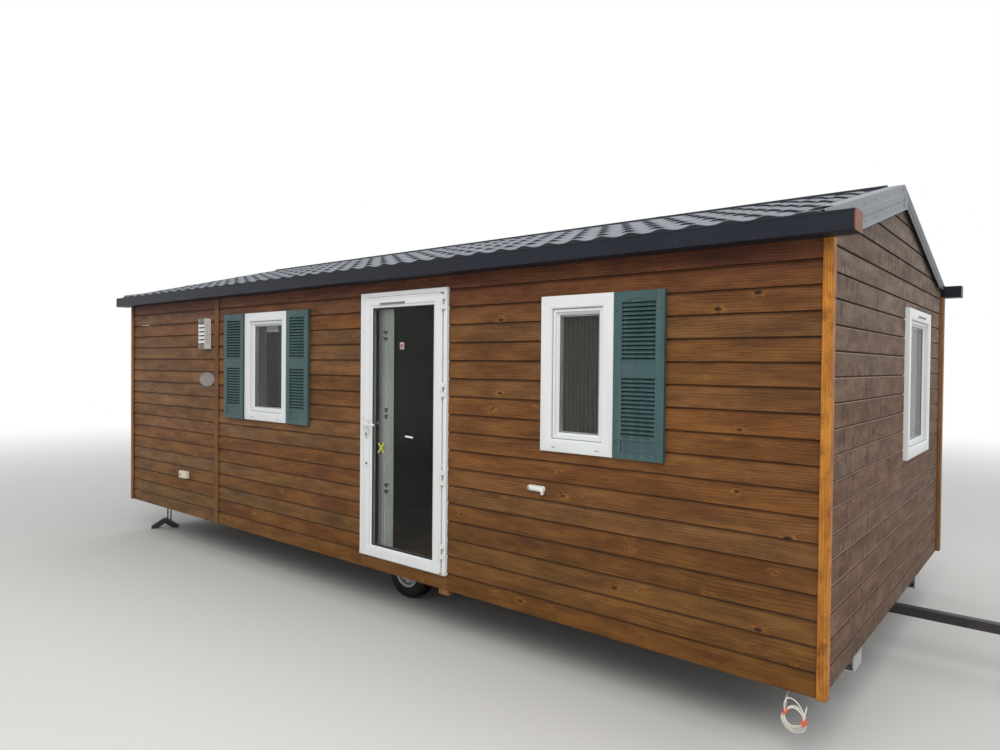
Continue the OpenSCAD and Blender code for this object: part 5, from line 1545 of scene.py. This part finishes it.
# ---------------------------------------------------------------- running gear
def wheel(side, which):
    """Tyre and pressed wheel; profiles are loops of (radius, along the axle)."""
    node, rim_node, body = which + "_tyre", which + "_rim", "wheel_" + which
    lo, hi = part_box(node)
    c = Vector([(a + b) / 2 for a, b in zip(lo, hi)])
    R, hw = (hi[2] - lo[2]) / 2, (hi[1] - lo[1]) / 2
    bed = 0.268 / 2 - 0.014
    wall = [(bed + r, q - hw) for r, q in ((0, 0.022), (0.014, 0.014), (0.017, 0.011), (0.020, 0.0105), (0.030, 0.004),
                                           (0.050, 0.0005), (0.053, 0.0014), (0.057, 0.0004))]
    wall += [(R - r, q - hw) for r, q in ((0.040, 0.0008), (0.022, 0.006), (0.0105, 0.0125), (0.006, 0.016),
                                          (0.0018, 0.024), (0.0002, 0.032))]
    grooves = [(R - r, g + q) for g in (-0.034, -0.012, 0.012, 0.034)
               for r, q in ((0.0002, -0.0045), (0.0070, -0.0035), (0.0070, 0.0035), (0.0002, 0.0045))]
    bd = Build()
    lathe(bd, c, (0, 1, 0), wall + grooves + [(r, -q) for r, q in wall[::-1]], 0, 160)
    # cross sipes cut across the shoulders, as narrow dark bars
    for cos, sin in circle(72):
        tan, rad = Vector((-sin, 0, cos)), Vector((cos, 0, sin))
        for s in (-1, 1):
            p0 = c + Vector((cos * (R - 0.0012), s * (hw - 0.030), sin * (R - 0.0012)))
            quad = [p0 + tan * (u + 0.004 * q / 0.017) + Vector((0, s, 0)) * q + rad * e
                    for u, q, e in ((-0.0016, 0.0, 0.0), (0.0016, 0.0, 0.0), (0.0016, 0.017, -0.0075),
                                    (-0.0016, 0.017, -0.0075))]
            bd.loft([[tuple(q - rad * 0.002) for q in quad], [tuple(q + rad * 0.00085) for q in quad]], 1)
    bd.obj(node + "_tread", [M_RUBBER, M_DARKRUBBER], body=body, node=node, angle=32)

    # the pressed wheel, its dish towards the outside
    axis = (0, side, 0)

    def face(a, r, deep):
        """A point at angle a and radius r, so deep behind the outer face."""
        return c + Vector((math.cos(a) * r, side * (hw - deep), math.sin(a) * r))

    bd = Build()
    half = [(bed - 0.005, -hw + 0.014), (bed + 0.010, -hw + 0.0075), (bed + 0.0135, -hw + 0.0080),
            (bed + 0.014, -hw + 0.0125), (bed, -hw + 0.022), (bed, -0.020), (bed - 0.012, -0.012)]
    lathe(bd, c, axis, half + [(r, -q) for r, q in half[::-1]] + [
        (bed - 0.005, 0.024), (bed - 0.017, 0.016), (bed - 0.017, -0.016), (bed - 0.005, -0.024)], 0, 128)
    lathe(bd, c, axis, [(r, hw - q) for r, q in (
        (0.0285, 0.044), (0.050, 0.044), (0.060, 0.041), (0.070, 0.026), (0.082, 0.0242), (bed - 0.022, 0.0245),
        (bed - 0.010, 0.034), (bed - 0.0052, 0.046), (bed - 0.0052, 0.052), (bed - 0.014, 0.041),
        (bed - 0.026, 0.031), (0.078, 0.031), (0.064, 0.048), (0.055, 0.051), (0.0285, 0.051))], 0, 128)
    # the dish's eight holes, as dark discs of painted shade
    for i in range(8):
        cyl(bd, face(TURN * (i + 0.5) / 8, 0.0915, 0.0248), axis, 0.0085, 0.0010, 1, 20)
    for i in range(5):
        p = face(TURN * i / 5 + 0.3, 0.046, 0.044)
        cyl(bd, p, axis, 0.0100, 0.012, 2, 6, smooth=False)
        cyl(bd, p + Vector((0, side * 0.012, 0)), axis, 0.0055, 0.005, 2, 14)
    cyl(bd, face(0, 0, 0.050), axis, 0.0300, 0.020, 2, 40, r2=0.0270)
    cyl(bd, face(0, 0, 0.030), axis, 0.0255, 0.006, 2, 40, r2=0.0180)
    lathe(bd, c, axis, rect(0.0262, 0.058, -hw + 0.012, hw - 0.052), 3, 64)
    # valve stem
    cyl(bd, face(1.1, bed - 0.012, 0.030), axis, 0.0042, 0.020, 1, 12)
    bd.obj(rim_node + "_pressed", [M_RIM, M_DARK, M_GALV, M_BLACK], body=body, node=rim_node,
           angle=36)


label()
door_frame()
door_leaf()
handle()
pane_marks()
curtains()
flue()
oval()
wall_fittings()
wheel(-1, "front")
wheel(1, "back")

# ---------------------------------------------------------------- the chassis: CAD shapes with their fixings
for mat, nodes in ((M_FLOORIN, ("floor",)), (M_GALV, ("front_rail", "back_rail", "cross_members")),
                   (M_BLACK, ("axle", "drawbar", "stands"))):
    for node in nodes:
        shown = frame["nodes"][node].data.materials
        shown.clear()
        shown.append(mat)


def hex_bolt(bd, c, axis, af=0.0095, ht=0.0075):
    """A hexagon head on its washer."""
    c, d = Vector(c), Vector(axis)
    cyl(bd, c - d * 0.0004, d, af * 1.32, 0.0020, 1, 24)
    cyl(bd, c + d * 0.0016, d, af, ht, 0, 6, smooth=False)
    cyl(bd, c + d * (0.0016 + ht), d, af * 0.55, 0.0042, 0, 14)


def bead(bd, x, y, z0, z1, n, radius, ripple, turn):
    """An upright weld bead."""
    rings = []
    for i, z in enumerate(steps(z0, z1, n)):
        r = radius + ripple * math.sin(i * turn)
        rings.append([(x + r * cos, y + r * sin, z) for cos, sin in circle(8)])
    bd.loft(rings, 2)


def chassis_details():
    """Bolts and weld beads where the rails, cross members, axle, drawbar and stands meet."""
    lo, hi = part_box("front_rail")
    gauge = abs(lo[1] + hi[1]) / 2
    foot, top = lo[2], hi[2]
    (_, _, c0), (_, _, c1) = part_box("cross_members")
    bd = Build()
    xs = [XR - d / 1000 for d in (250, 900, 1500, 2900, 4000, 5400, 7300)]
    for x in xs:
        for g in (-gauge, gauge):
            # end cleats on the rail's web, two bolts each, inside and outside
            for face in (-1, 1):
                yw = g + face * 0.0041
                for dz in (0.028, 0.072):
                    hex_bolt(bd, (x + 0.046, yw, c0 + dz), (0, face, 0))
                bd.plate(world, rect(x + 0.030, x + 0.062, c0 + 0.006, c1 - 0.006), yw - face * 0.0003,
                         yw + face * 0.0003, 1)
            # weld beads along the joint
            for face in (-1, 1):
                for ex in (-0.0302, 0.0302):
                    bead(bd, x + ex, g + face * 0.0042, c0 + 0.004, c1 - 0.004, 14, 0.0034, 0.0007, 2.4)
    # end plates: a weld bead on either side of the web and the rims of the lifting holes
    for g in (-gauge, gauge):
        for xe, inn in ((lo[0], 1), (hi[0], -1)):
            for dz in (0.060, 0.160):
                for dy in (0.052, -0.052):
                    lathe(bd, (xe + inn * 0.0084, g + dy, foot + dz), (inn, 0, 0), rect(0.0105, 0.0145, 0.0, 0.0014),
                          1, 28)
            for dy in (-0.0048, 0.0048):
                bead(bd, xe + inn * 0.0086, g + dy, foot + 0.010, top - 0.010, 18, 0.0032, 0.0006, 2.1)
    # the axle beam's clamps under the rails
    a_lo, a_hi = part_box("axle")
    ax = (a_lo[0] + a_hi[0]) / 2
    for g in (-gauge, gauge):
        for dx in (-0.058, 0.058):
            for dy in (-0.052, 0.052):
                hex_bolt(bd, (ax + dx, g + dy, foot), (0, 0, -1))
    # the drawbar's bolts under the front cross members, and the tow head's cross bolts and top ring
    d_lo, d_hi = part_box("drawbar")
    for x in xs[:3]:
        if x > d_lo[0] + 0.05:
            for dx in (-0.016, 0.016):
                hex_bolt(bd, (x + dx, 0.0, d_lo[2] + 0.0004), (0, 0, -1), 0.0080, 0.0060)
    for dx in (0.150, 0.205):
        for face in (-1, 1):
            hex_bolt(bd, (d_hi[0] - dx, face * 0.0300, d_lo[2] + 0.030), (0, face, 0), 0.0085, 0.0065)
    lathe(bd, (d_hi[0] - 0.037, 0.0, d_hi[2] - 0.0006), UP, [
        (0.0100, -0.0010), (0.0300, -0.0010), (0.0300, 0.0), (0.0285, 0.0006), (0.0115, 0.0006), (0.0100, 0.0)], 3, 48)
    # nuts where the stands' rods meet their feet and plates
    s_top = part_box("stands")[1][2]
    lean = math.radians(58)
    for side in (-1, 1):
        for r in (0.028, 0.062):
            px = XR - 7.440 + r * math.cos(lean)
            py = side * (YB - 0.300 - r * math.sin(lean))
            for z in (s_top - 0.022, s_top - 0.060):
                cyl(bd, (px, py, z), UP, 0.0125, 0.0100, 0, 6, smooth=False)
            cyl(bd, (px, py, 0.100), UP, 0.0120, 0.0100, 0, 6, smooth=False)
    bd.obj("chassis_fixings", [M_GALV, M_STEEL, M_WELD, M_BLACK], angle=34)


chassis_details()
